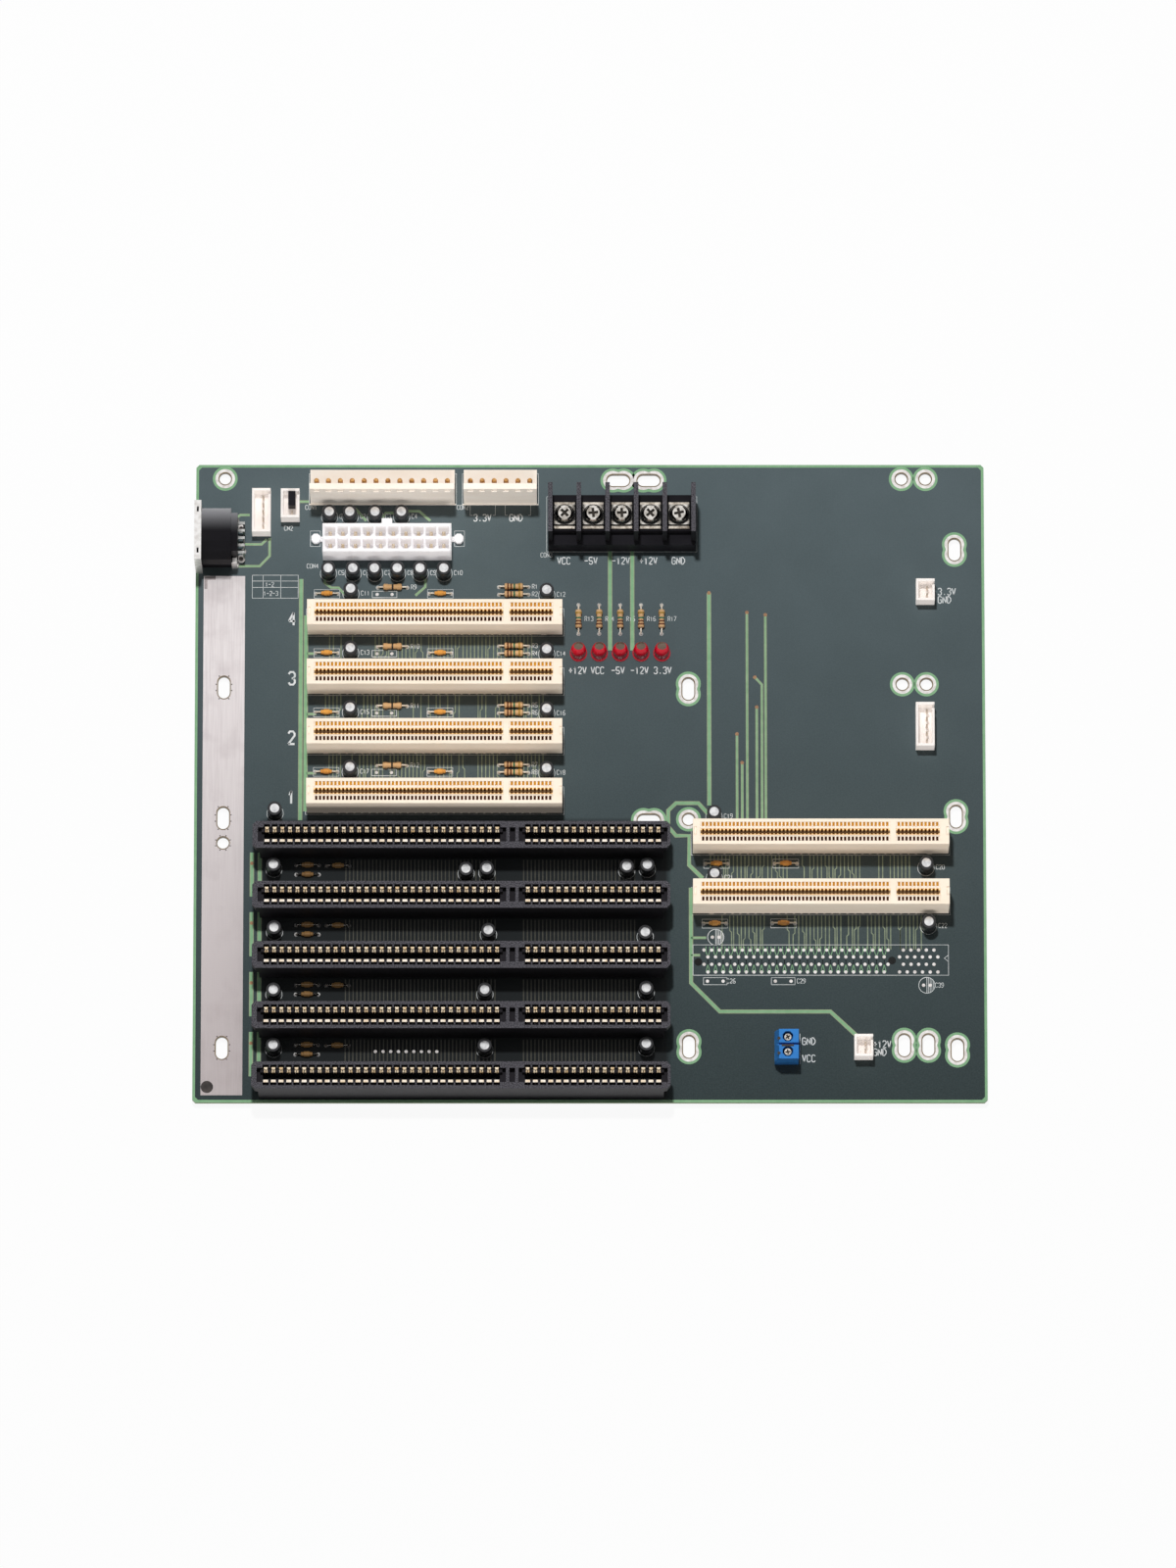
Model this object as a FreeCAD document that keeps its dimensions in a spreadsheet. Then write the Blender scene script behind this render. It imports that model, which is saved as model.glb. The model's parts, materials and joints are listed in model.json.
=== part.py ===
"""Passive backplane: a circuit board that carries card slots, power headers and small parts.

The board lies flat, component side up (+Z). X runs along the card slots and Y across them.
The origin is under the middle of the board, on the plane that the solder joints rest on.
Lengths are in millimetres.
"""

import FreeCAD
import Part

import math
import os
import re

import Sketcher

# Driving dimensions, one sheet cell each
DIMENSIONS = {
    "board_length": 263.0,
    "board_width": 217.5,
    "board_thickness": 1.6,
    "corner_cut": 1.0,
    "hole_radius": 2.05,
    "hole_travel": 3.6,
    "joint_height": 1.8,
    "joint_width": 1.9,
    "short_length": 84.84,
    "short_width": 8.6,
    "short_height": 15.2,
    "short_pitch": 1.27,
    "short_first": -39.05,
    "short_near": 49,
    "short_gap": 3,
    "short_far": 11,
    "short_channel": 2.0,
    "short_margin": 0.9,
    "short_depth": 10.0,
    "window_inner": 1.75,
    "window_outer": 3.2,
    "window_depth": 2.0,
    "foot_height": 0.6,
    "foot_length": 1.4,
    "foot_taper": 0.3,
    "foot_spacing": 36.2,
    "end_slit": 0.7,
    "end_slit_inset": 0.45,
    "end_groove": 0.9,
    "end_cut_front": 1.3,
    "end_cut_back": 1.6,
    "end_cut_depth": 9.0,
    "long_length": 138.3,
    "long_width": 9.1,
    "long_height": 15.5,
    "long_pitch": 2.54,
    "long_first": -64.35,
    "long_near": 31,
    "long_gap": 4,
    "long_far": 18,
    "long_channel": 4.8,
    "long_window": 6.9,
    "long_margin": 1.0,
    "long_depth": 9.0,
    "guide_reach": 2.0,
    "guide_depth": 2.8,
    "flange_reach": 2.2,
    "flange_depth": 3.0,
    "flange_corner": 1.2,
    "divider_gap": 1.9,
    "lead_in": 0.55,
    "power_pitch": 3.96,
    "power_overhang": 2.3,
    "power_depth": 10.0,
    "power_base": 7.0,
    "power_wall": 2.0,
    "power_height": 20.5,
    "power_pin_radius": 1.0,
    "power_pin_length": 12.3,
    "power_pin_setback": 3.4,
    "power_pin_sides": 6,
    "cell_pitch": 4.2,
    "cell_size": 3.4,
    "cell_cut": 0.9,
    "cell_depth": 10.0,
    "main_length": 42.9,
    "main_width": 9.6,
    "main_height": 12.8,
    "main_pin": 1.1,
    "main_pin_length": 8.2,
    "latch_width": 3.5,
    "latch_reach": 1.7,
    "latch_height": 4.0,
    "ear_radius": 1.65,
    "ear_height": 2.4,
    "ear_offset": 23.85,
    "ear_shift": 2.3,
    "ear_plate": 1.0,
    "pole_pitch": 9.525,
    "pole_count": 5,
    "barrier_depth": 16.4,
    "barrier_thickness": 1.5,
    "barrier_height": 21.5,
    "wall_setback": 1.4,
    "wall_overhang": 1.8,
    "ledge_depth": 4.1,
    "ledge_height": 8.0,
    "bed_height": 11.0,
    "plate_length": 9.4,
    "plate_width": 7.6,
    "plate_thickness": 0.8,
    "washer_size": 6.8,
    "washer_thickness": 1.0,
    "screw_radius": 2.9,
    "screw_height": 2.2,
    "screw_sides": 10,
    "plate_setback": 0.6,
    "socket_radius": 9.5,
    "socket_centre": 10.5,
    "socket_nose": 8.6,
    "socket_body": 9.8,
    "socket_foot_width": 16.0,
    "socket_foot_height": 5.0,
    "socket_bore": 6.75,
    "socket_core": 5.5,
    "socket_bore_depth": 8.0,
    "socket_core_setback": 0.6,
    "socket_sides": 16,
    "socket_back": 2.2,
    "socket_back_size": 13.0,
    "face_size": 20.2,
    "face_thickness": 0.5,
    "face_bore": 7.4,
    "face_rim": 2.3,
    "face_slot_length": 1.75,
    "face_slot_width": 0.65,
    "face_slot_offset": 7.05,
    "terminal_thickness": 0.6,
    "terminal_reach": 2.2,
    "terminal_rise": 9.0,
    "terminal_width": 0.9,
    "wafer_pitch": 2.5,
    "wafer_end": 4.9,
    "wafer_width": 6.2,
    "wafer_height": 7.0,
    "wafer_wall": 0.8,
    "wafer_floor": 1.2,
    "wafer_key": 1.3,
    "wafer_key_depth": 3.2,
    "wafer_pin": 0.64,
    "wafer_pin_length": 5.2,
    "wafer_pin_offset": 0.6,
    "jumper_width": 2.4,
    "jumper_length": 4.9,
    "jumper_height": 5.2,
    "jumper_hole": 0.72,
    "jumper_hole_depth": 3.4,
    "wire_length": 10.0,
    "wire_width": 7.9,
    "wire_height": 10.0,
    "wire_bevel": 1.4,
    "wire_bevel_height": 4.6,
    "wire_pitch": 5.0,
    "wire_well": 1.85,
    "wire_well_depth": 2.6,
    "wire_entry": 2.7,
    "wire_entry_height": 3.2,
    "wire_entry_depth": 4.2,
    "wire_entry_floor": 1.2,
    "wire_groove": 0.8,
    "wire_groove_depth": 1.4,
    "wire_screw_radius": 1.5,
    "wire_screw_height": 1.5,
    "wire_screw_offset": 0.35,
    "lamp_radius": 2.5,
    "lamp_rim": 2.9,
    "lamp_rim_height": 1.0,
    "lamp_straight": 6.1,
    "lamp_lift": 2.9,
    "lamp_sides": 8,
    "lamp_lead": 0.5,
    "lamp_lead_pitch": 2.54,
    "resistor_radius": 1.2,
    "resistor_length": 6.3,
    "bead_radius": 1.05,
    "bead_length": 3.9,
    "resistor_sides": 8,
    "bead_sides": 6,
    "can_radius": 2.4,
    "can_height": 8.0,
    "can_sides": 8,
    "can_lead_pitch": 2.0,
}

# Places on the board, measured from its middle
ROUND_HOLES = (
    (-121.85, 104.0), (104.0, 103.9), (112.0, 103.9), (104.0, 33.4),
    (112.0, 33.4), (32.75, -12.7), (-121.85, -20.75),
)
ALONG_X_HOLES = ((9.45, 103.4), (19.6, 103.4), (19.55, -13.0))
ALONG_Y_HOLES = (
    (121.6, 79.6), (121.6, -11.8), (121.6, -91.0), (32.75, 31.8), (32.75, -89.9),
    (104.0, -89.4), (112.0, -89.4), (-121.85, 32.3), (-121.85, -12.3), (-121.85, -90.3),
)
LEFT_SHORT_SLOT = (-51.6, -6.35)
RIGHT_SHORT_SLOT = (76.5, -20.2)
LONG_SLOT = (-42.55, -21.35)
SLOT_SPACING = 20.32
TWELVE_WAY = (-69.2, 100.3)
SIX_WAY = (-29.9, 100.3)
MAIN_HEADER = (-67.6, 80.7)
BARRIER = (10.6, 87.4)
SOCKET_Y = 81.5
WAFERS = {
    "left_five_way": (-109.6, 91.6, 5),
    "three_way": (-100.0, 94.0, 3),
    "upper_two_way": (111.7, 64.3, 2),
    "right_five_way": (111.4, 18.3, 5),
    "lower_two_way": (90.5, -90.7, 2),
}
WIRE_TERMINAL = (65.0, -90.95)
LAMP_Y = 43.2
LAMP_RESISTOR_Y = 55.6
LAMP_COLUMNS = (-3.8, 3.1, 10.1, 17.0, 23.9)
GAP_ROWS = (0, 1, 2, 3)
PAIR_RESISTORS = (-25.4, (66.7, 64.1))
LINK_RESISTOR = (-65.8, 66.5)
UPPER_BEADS = ((-87.7, 64.4), (-49.9, 64.4))
LOWER_BEADS = ((-93.7, -28.4), (-93.7, -31.6), (-83.6, -28.6))
RIGHT_BEADS = ((42.0, -27.9), (65.0, -27.8), (41.4, -48.2), (64.2, -48.1))
HEADER_CANS = (
    (-86.9, 90.8), (-80.1, 90.8), (-71.65, 90.8), (-62.9, 90.8), (-87.2, 71.4),
    (-79.0, 71.4), (-71.8, 71.4), (-64.2, 71.4), (-56.6, 71.4), (-48.7, 71.4),
)
UPPER_CANS = ((-79.7, 64.4), (-14.4, 64.0))
LOWER_CANS = (
    (-104.6, -10.7), (-104.9, -29.7), (-41.1, -31.2), (-34.2, -30.9), (12.2, -30.3),
    (19.0, -29.8), (-104.6, -51.1), (-33.65, -52.0), (18.3, -52.7), (-104.7, -72.2),
    (-34.8, -72.2), (18.6, -71.6), (-104.7, -90.8), (-34.8, -91.0), (18.6, -90.4),
)
RIGHT_CANS = ((41.2, -11.85), (41.3, -32.7), (111.5, -29.2), (112.2, -49.1))

BOARD_TOP = "joint_height + board_thickness"

doc = FreeCAD.newDocument("Backplane")
sheet = doc.addObject("Spreadsheet::Sheet", "Dimensions")
nodes = {}


def fill_sheet():
    """Write each driving dimension into a cell that carries its name as an alias."""
    for row, (name, value) in enumerate(DIMENSIONS.items(), start=1):
        sheet.set(f"A{row}", name)
        sheet.set(f"B{row}", str(value))
        sheet.setAlias(f"B{row}", name)
    doc.recompute()


def size(name):
    """Value of one driving dimension."""
    return float(sheet.get(name))


def formula(text):
    """Turn the plain names in a formula into references to the sheet's cells."""
    return re.sub(r"[a-z][a-z_]+", r"Dimensions.\g<0>", text)


def bind(thing, **formulas):
    """Bind properties of a document object to formulas of the driving dimensions."""
    for prop, text in formulas.items():
        thing.setExpression(prop, formula(text))


def place(thing, x, y, lift=BOARD_TOP, rotation=None):
    """Put a document object at a spot of the board, its height bound to the sheet."""
    turn = rotation or FreeCAD.Rotation()
    thing.Placement = FreeCAD.Placement(FreeCAD.Vector(x, y, 0), turn)
    thing.setExpression("Placement.Base.z", formula(lift))


def keep(name, thing):
    """Register a finished sub-part under its own name."""
    thing.Label = name
    nodes[name] = thing


# Sketches and features of moulded pieces


def new_body(name, x, y, lift=BOARD_TOP):
    """Start a body for one piece at its spot on the board."""
    body = doc.addObject("PartDesign::Body", "Body_" + name)
    place(body, x, y, lift)
    keep(name, body)
    return body


def new_sketch(body, name, plane, lift="0"):
    """Empty sketch on one of the body's own planes, lifted off it along the plane's normal."""
    sketch = body.newObject("Sketcher::SketchObject", f"{body.Name}_{name}")
    support = next(f for f in body.Origin.OriginFeatures if f.Role == plane)
    sketch.AttachmentSupport = [(support, "")]
    sketch.MapMode = "FlatFace"
    sketch.setExpression("AttachmentOffset.Base.z", formula(lift))
    return sketch


def outline(sketch, corners):
    """Closed ring of straight lines; each corner is held by two distances bound to the sheet."""
    first = sketch.GeometryCount
    count = len(corners)
    turn = 2 * math.pi / count
    rough = [FreeCAD.Vector(math.cos(i * turn), math.sin(i * turn), 0) for i in range(count)]
    for i in range(count):
        sketch.addGeometry(Part.LineSegment(rough[i], rough[(i + 1) % count]))
    for i in range(count):
        following = first + (i + 1) % count
        sketch.addConstraint(Sketcher.Constraint("Coincident", first + i, 2, following, 1))
    for i, (x, y) in enumerate(corners):
        for kind, start, text in (("DistanceX", rough[i].x, x), ("DistanceY", rough[i].y, y)):
            held = sketch.addConstraint(Sketcher.Constraint(kind, -1, 1, first + i, 1, start))
            sketch.setExpression(f"Constraints[{held}]", formula(text))


def rectangle(left, front, right, back):
    """Four corners of an upright rectangle, as formulas."""
    return ((left, front), (right, front), (right, back), (left, back))


def centred(length, width):
    """Four corners of a rectangle about the middle of its sketch, as formulas."""
    return rectangle(f"-({length}) / 2", f"-({width}) / 2", f"({length}) / 2", f"({width}) / 2")


def circle(sketch, x, y, radius):
    """Round outline whose radius is bound to the sheet."""
    ring = sketch.addGeometry(Part.Circle(FreeCAD.Vector(x, y, 0), FreeCAD.Vector(0, 0, 1), size(radius)))
    held = sketch.addConstraint(Sketcher.Constraint("Radius", ring, size(radius)))
    sketch.setExpression(f"Constraints[{held}]", formula(radius))
    sketch.addConstraint(Sketcher.Constraint("DistanceX", -1, 1, ring, 3, x))
    sketch.addConstraint(Sketcher.Constraint("DistanceY", -1, 1, ring, 3, y))


def polygon(sketch, x, y, radius, sides):
    """Many-sided outline of a small round feature; x and y are formulas."""
    angles = [2 * math.pi * (i + 0.5) / sides for i in range(sides)]
    outline(sketch, [
        (f"{x} + {radius} * {math.cos(angle):.6f}", f"{y} + {radius} * {math.sin(angle):.6f}")
        for angle in angles
    ])


def slotted_hole(sketch, x, y, along):
    """Outline of a slotted mounting hole: two half circles joined by straight sides."""
    radius = size("hole_radius")
    normal = FreeCAD.Vector(0, 0, 1)
    across = normal.cross(along)
    ends = [FreeCAD.Vector(x, y, 0) + along * (side * size("hole_travel") / 2) for side in (1, -1)]
    heading = math.atan2(along.y, along.x)
    first = sketch.GeometryCount
    for end, side in zip(ends, (0, math.pi)):
        start = heading + side - math.pi / 2
        ring = Part.Circle(end, normal, radius)
        sketch.addGeometry(Part.ArcOfCircle(ring, start, start + math.pi))
    sketch.addGeometry(Part.LineSegment(ends[0] + across * radius, ends[1] + across * radius))
    sketch.addGeometry(Part.LineSegment(ends[1] - across * radius, ends[0] - across * radius))
    far, near, left, right = range(first, first + 4)
    for arc, arc_end, line, line_end in (
        (far, 2, left, 1), (left, 2, near, 1), (near, 2, right, 1), (right, 2, far, 1),
    ):
        sketch.addConstraint(Sketcher.Constraint("Tangent", arc, arc_end, line, line_end))
    held = sketch.addConstraint(Sketcher.Constraint("Radius", far, radius))
    sketch.setExpression(f"Constraints[{held}]", formula("hole_radius"))
    for arc, end in zip((far, near), ends):
        sketch.addConstraint(Sketcher.Constraint("DistanceX", -1, 1, arc, 3, end.x))
        sketch.addConstraint(Sketcher.Constraint("DistanceY", -1, 1, arc, 3, end.y))


def pad(body, sketch, length, midplane=False):
    """Raise a sketch into material."""
    feature = body.newObject("PartDesign::Pad", sketch.Name + "_pad")
    feature.Profile = sketch
    feature.Midplane = midplane
    bind(feature, Length=length)
    doc.recompute()
    return feature


def pocket(body, sketch, depth, flip=False):
    """Cut a sketch into the material behind it, and make sure that it does cut."""
    before = body.Shape.Volume
    feature = body.newObject("PartDesign::Pocket", sketch.Name + "_pocket")
    feature.Profile = sketch
    feature.Reversed = flip
    bind(feature, Length=depth)
    doc.recompute()
    if body.Shape.Volume >= before:
        raise RuntimeError(f"{sketch.Name} cuts nothing")
    return feature


def chamfer_edges(body, amount, chosen):
    """Chamfer the edges of the body's last feature that the test picks."""
    base = body.Tip
    names = [f"Edge{i}" for i, edge in enumerate(base.Shape.Edges, start=1) if chosen(edge)]
    feature = body.newObject("PartDesign::Chamfer", f"{body.Name}_{amount}")
    feature.Base = (base, names)
    bind(feature, Size=amount)
    doc.recompute()


def lies_along(edge, axis):
    """True for a straight edge that runs along the given axis."""
    if not isinstance(edge.Curve, Part.Line):
        return False
    return abs(edge.Curve.Direction.dot(axis)) > 0.999


# Groups of like pieces


def primitive(kind, name, **formulas):
    """Part primitive with its sizes bound to the sheet."""
    thing = doc.addObject(f"Part::{kind}", name)
    bind(thing, **formulas)
    return thing


def copies(name, master, places):
    """One node of separate solids: the master repeated at each place."""
    doc.recompute()
    solids = []
    for spot in places:
        solid = master.Shape.copy()
        solid.Placement = spot.multiply(solid.Placement)
        solids.append(solid)
    node = doc.addObject("Part::Feature", "Group_" + name)
    node.Shape = Part.makeCompound(solids)
    keep(name, node)


def spot(x, y, above=0.0, rotation=None):
    """Placement of one copy at a height above the board's face."""
    height = size("joint_height") + size("board_thickness") + above
    return FreeCAD.Placement(FreeCAD.Vector(x, y, height), rotation or FreeCAD.Rotation())


def row(x, y, count, pitch):
    """Centres of a row along X, about its middle."""
    return [(x + (i - (count - 1) / 2) * pitch, y) for i in range(count)]


def column(x, y, count, pitch):
    """Centres of a row along Y, about its middle."""
    return [(x, y + (i - (count - 1) / 2) * pitch) for i in range(count)]


def down_rows(places, spacing=SLOT_SPACING):
    """The same places repeated at each of the four slot gaps."""
    return [(x, y - gap * spacing) for gap in GAP_ROWS for x, y in places]


# The board


def build_board():
    """Board with cut corners and round and slotted mounting holes."""
    body = new_body("circuit_board", 0, 0, "joint_height")
    plan = new_sketch(body, "plan", "XY_Plane")
    across = "board_length / 2"
    deep = "board_width / 2"
    outline(plan, (
        (f"-{across} + corner_cut", f"-{deep}"), (f"{across} - corner_cut", f"-{deep}"),
        (across, f"-{deep} + corner_cut"), (across, f"{deep} - corner_cut"),
        (f"{across} - corner_cut", deep), (f"-{across} + corner_cut", deep),
        (f"-{across}", f"{deep} - corner_cut"), (f"-{across}", f"-{deep} + corner_cut"),
    ))
    pad(body, plan, "board_thickness")
    holes = new_sketch(body, "holes", "XY_Plane", "board_thickness")
    for x, y in ROUND_HOLES:
        circle(holes, x, y, "hole_radius")
    for x, y in ALONG_X_HOLES:
        slotted_hole(holes, x, y, FreeCAD.Vector(1, 0, 0))
    for x, y in ALONG_Y_HOLES:
        slotted_hole(holes, x, y, FreeCAD.Vector(0, 1, 0))
    pocket(body, holes, "board_thickness")


# Card slots


def contact_runs(kind):
    """Ends of the near and far contact runs of a card slot, as formulas along X."""
    near_start = f"{kind}_first - {kind}_margin"
    near_end = f"{kind}_first + ({kind}_near - 1) * {kind}_pitch + {kind}_margin"
    far_first = f"{kind}_first + ({kind}_near - 1 + {kind}_gap) * {kind}_pitch"
    far_start = f"{far_first} - {kind}_margin"
    far_end = f"{far_first} + ({kind}_far - 1) * {kind}_pitch + {kind}_margin"
    return (near_start, near_end), (far_start, far_end)


def chamfer_mouth(body):
    """Lead-in along the long edges of a short slot's card channel."""
    top = size("short_height")
    half = size("short_channel") / 2

    def at_mouth(edge):
        middle = edge.BoundBox.Center
        along_x = lies_along(edge, FreeCAD.Vector(1, 0, 0))
        return along_x and abs(middle.z - top) < 1e-3 and abs(abs(middle.y) - half) < 1e-3

    chamfer_edges(body, "lead_in", at_mouth)


def build_short_slot(name, x, y):
    """Short card slot: block on tapered feet, keyed card channel, window rows and cut ends."""
    body = new_body(name, x, y)
    front = new_sketch(body, "front", "XZ_Plane")
    half = "short_length / 2"
    corners = [(f"-{half}", "foot_height")]
    for step in (-1, 1):
        middle = f"{step} * foot_spacing"
        corners += [
            (f"{middle} - foot_length / 2 - foot_taper", "foot_height"),
            (f"{middle} - foot_length / 2", "0"),
            (f"{middle} + foot_length / 2", "0"),
            (f"{middle} + foot_length / 2 + foot_taper", "foot_height"),
        ]
    corners += [(half, "foot_height"), (half, "short_height"), (f"-{half}", "short_height")]
    outline(front, corners)
    pad(body, front, "short_width", midplane=True)
    runs = contact_runs("short")
    mouth = new_sketch(body, "channel", "XY_Plane", "short_height")
    for start, end in runs:
        outline(mouth, rectangle(start, "-short_channel / 2", end, "short_channel / 2"))
    pocket(body, mouth, "short_depth")
    chamfer_mouth(body)
    windows = new_sketch(body, "windows", "XY_Plane", "short_height")
    for start, end in runs:
        outline(windows, rectangle(start, "window_inner", end, "window_outer"))
        outline(windows, rectangle(start, "-window_outer", end, "-window_inner"))
    pocket(body, windows, "window_depth")
    ends = new_sketch(body, "ends", "XY_Plane", "short_height")
    slit = f"-{half} + end_slit_inset"
    outline(ends, rectangle(slit, "-end_cut_front", f"{slit} + end_slit", "end_cut_back"))
    outline(ends, rectangle(f"{half} - end_groove", "-end_cut_front", half, "end_cut_back"))
    pocket(body, ends, "end_cut_depth")


def build_long_slot(name, x, y):
    """Long card slot: flanged block, two contact chambers, card guides and a split divider between."""
    body = new_body(name, x, y)
    front = new_sketch(body, "front", "XZ_Plane")
    half = "long_length / 2"
    step = "long_height - flange_depth"
    outline(front, (
        (f"-{half} + flange_reach", "0"), (f"{half} - flange_reach", "0"),
        (f"{half} - flange_reach", f"{step} - flange_reach"), (half, step), (half, "long_height"),
        (f"-{half}", "long_height"), (f"-{half}", step),
        (f"-{half} + flange_reach", f"{step} - flange_reach"),
    ))
    pad(body, front, "long_width", midplane=True)
    reach = size("long_length") / 2

    def at_flange_corner(edge):
        upright = lies_along(edge, FreeCAD.Vector(0, 0, 1))
        return upright and abs(abs(edge.BoundBox.Center.x) - reach) < 1e-3

    chamfer_edges(body, "flange_corner", at_flange_corner)
    runs = contact_runs("long")
    chambers = new_sketch(body, "chambers", "XY_Plane", "long_height")
    for start, end in runs:
        outline(chambers, rectangle(start, "-long_window / 2", end, "long_window / 2"))
    pocket(body, chambers, "long_depth")
    guide = new_sketch(body, "guide", "XY_Plane", "long_height")
    middle = f"({runs[0][1]} + {runs[1][0]}) / 2"
    guides = [(f"{start} - guide_reach", f"{end} + guide_reach") for start, end in runs]
    guides.append((f"{middle} - divider_gap / 2", f"{middle} + divider_gap / 2"))
    for start, end in guides:
        outline(guide, rectangle(start, "-long_channel / 2", end, "long_channel / 2"))
    pocket(body, guide, "guide_depth")


# Power headers


def build_power_header(name, x, y, ways):
    """Power header: low base with a tall ribbed wall along its front, and round pins."""
    body = new_body(name, x, y)
    side = new_sketch(body, "side", "YZ_Plane")
    front = "-power_depth / 2"
    outline(side, (
        (front, "0"), ("power_depth / 2", "0"), ("power_depth / 2", "power_base"),
        (f"{front} + power_wall", "power_base"), (f"{front} + power_wall", "power_height"),
        (front, "power_height"),
    ))
    pad(body, side, f"{ways - 1} * power_pitch + 2 * power_overhang", midplane=True)
    pin = primitive("Prism", name + "_pin", Polygon="power_pin_sides", Circumradius="power_pin_radius",
                    Height="power_pin_length")
    pin_y = y - size("power_depth") / 2 + size("power_pin_setback")
    places = [spot(px, py, size("power_base")) for px, py in row(x, pin_y, ways, size("power_pitch"))]
    copies(name.replace("header", "pins"), pin, places)
    return row(x, pin_y, ways, size("power_pitch"))


def build_main_header():
    """Two-row power header: keyed cells with a square pin in each, a latch and two peg ears."""
    x, y = MAIN_HEADER
    body = new_body("main_header", x, y)
    plan = new_sketch(body, "plan", "XY_Plane")
    outline(plan, centred("main_length", "main_width"))
    pad(body, plan, "main_height")
    ways = 10
    centres = [(column_x, row_y) for row_y in (-0.5, 0.5) for column_x in range(ways)]
    cells = new_sketch(body, "cells", "XY_Plane", "main_height")
    reach = "cell_size / 2"
    for index, row_y in centres:
        cx = f"({index} - {ways - 1} / 2) * cell_pitch"
        cy = f"({row_y}) * cell_pitch"
        low = (f"{cx} - {reach}", f"{cx} + {reach}")
        if (index + (row_y > 0)) % 2:
            outline(cells, rectangle(low[0], f"{cy} - {reach}", low[1], f"{cy} + {reach}"))
        else:
            outline(cells, (
                (f"{low[0]} + cell_cut", f"{cy} - {reach}"), (f"{low[1]} - cell_cut", f"{cy} - {reach}"),
                (low[1], f"{cy} - {reach} + cell_cut"), (low[1], f"{cy} + {reach}"),
                (low[0], f"{cy} + {reach}"), (low[0], f"{cy} - {reach} + cell_cut"),
            ))
    pocket(body, cells, "cell_depth")
    latch = new_sketch(body, "latch", "XY_Plane", "main_height - latch_height")
    outline(latch, rectangle(
        "-latch_width / 2", "main_width / 2", "latch_width / 2", "main_width / 2 + latch_reach",
    ))
    pad(body, latch, "latch_height")
    ears = new_sketch(body, "ears", "XY_Plane")
    front = "ear_shift - ear_radius / 2"
    back = "ear_shift + ear_radius / 2"
    outline(ears, rectangle("-ear_offset", front, "-main_length / 2", back))
    outline(ears, rectangle("main_length / 2", front, "ear_offset", back))
    pad(body, ears, "ear_plate")
    pegs = new_sketch(body, "pegs", "XY_Plane")
    for side in ("-", ""):
        polygon(pegs, f"{side}ear_offset", "ear_shift", "ear_radius", 8)
    pad(body, pegs, "ear_height")
    pin = primitive("Box", "main_pin", Length="main_pin", Width="main_pin", Height="main_pin_length")
    pitch = size("cell_pitch")
    spots = [(x + (index - (ways - 1) / 2) * pitch, y + row_y * pitch) for index, row_y in centres]
    half = size("main_pin") / 2
    floor = size("main_height") - size("cell_depth")
    copies("main_header_pins", pin, [spot(px - half, py - half, floor) for px, py in spots])
    return spots


# Barrier strip


def build_barrier_strip():
    """Barrier strip: stepped bed, thin walls between the poles, and a plate, washer and screw in each."""
    x, y = BARRIER
    body = new_body("barrier_strip", x, y)
    bed = new_sketch(body, "bed", "YZ_Plane")
    front = "-barrier_depth / 2"
    back = "barrier_depth / 2"
    outline(bed, (
        (front, "0"), (back, "0"), (back, "bed_height"), (f"{front} + ledge_depth", "bed_height"),
        (f"{front} + ledge_depth", "ledge_height"), (front, "ledge_height"),
    ))
    pad(body, bed, "pole_count * pole_pitch + barrier_thickness", midplane=True)
    wall = new_sketch(body, "wall", "YZ_Plane", "-pole_count * pole_pitch / 2 - barrier_thickness / 2")
    near = f"{front} + wall_setback"
    far = f"{back} + wall_overhang"
    outline(wall, rectangle(near, "ledge_height", far, "barrier_height"))
    first_wall = pad(body, wall, "barrier_thickness")
    walls = body.newObject("PartDesign::LinearPattern", "barrier_walls")
    walls.Originals = [first_wall]
    walls.Direction = (next(f for f in body.Origin.OriginFeatures if f.Role == "X_Axis"), [""])
    bind(walls, Length="pole_count * pole_pitch", Occurrences="pole_count + 1")
    body.Tip = walls
    doc.recompute()
    poles = row(x, y, int(size("pole_count")), size("pole_pitch"))
    plate = primitive("Box", "pole_plate", Length="plate_width", Width="plate_length",
                      Height="plate_thickness")
    washer = primitive("Box", "pole_washer", Length="washer_size", Width="washer_size",
                       Height="washer_thickness")
    screw = primitive("Prism", "pole_screw", Polygon="screw_sides", Circumradius="screw_radius",
                      Height="screw_height")
    bed_top = size("bed_height")
    plate_y = y + (size("ledge_depth") - size("barrier_depth") / 2) + size("plate_setback")
    centre_y = plate_y + size("plate_length") / 2
    washer_top = bed_top + size("plate_thickness") + size("washer_thickness")
    half_plate = size("plate_width") / 2
    half_washer = size("washer_size") / 2
    copies("terminal_plates", plate, [spot(px - half_plate, plate_y, bed_top) for px, _ in poles])
    copies("clamp_washers", washer, [
        spot(px - half_washer, centre_y - half_washer, bed_top + size("plate_thickness")) for px, _ in poles
    ])
    copies("terminal_screws", screw, [spot(px, centre_y, washer_top) for px, _ in poles])
    return poles


# Keyboard socket


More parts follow.
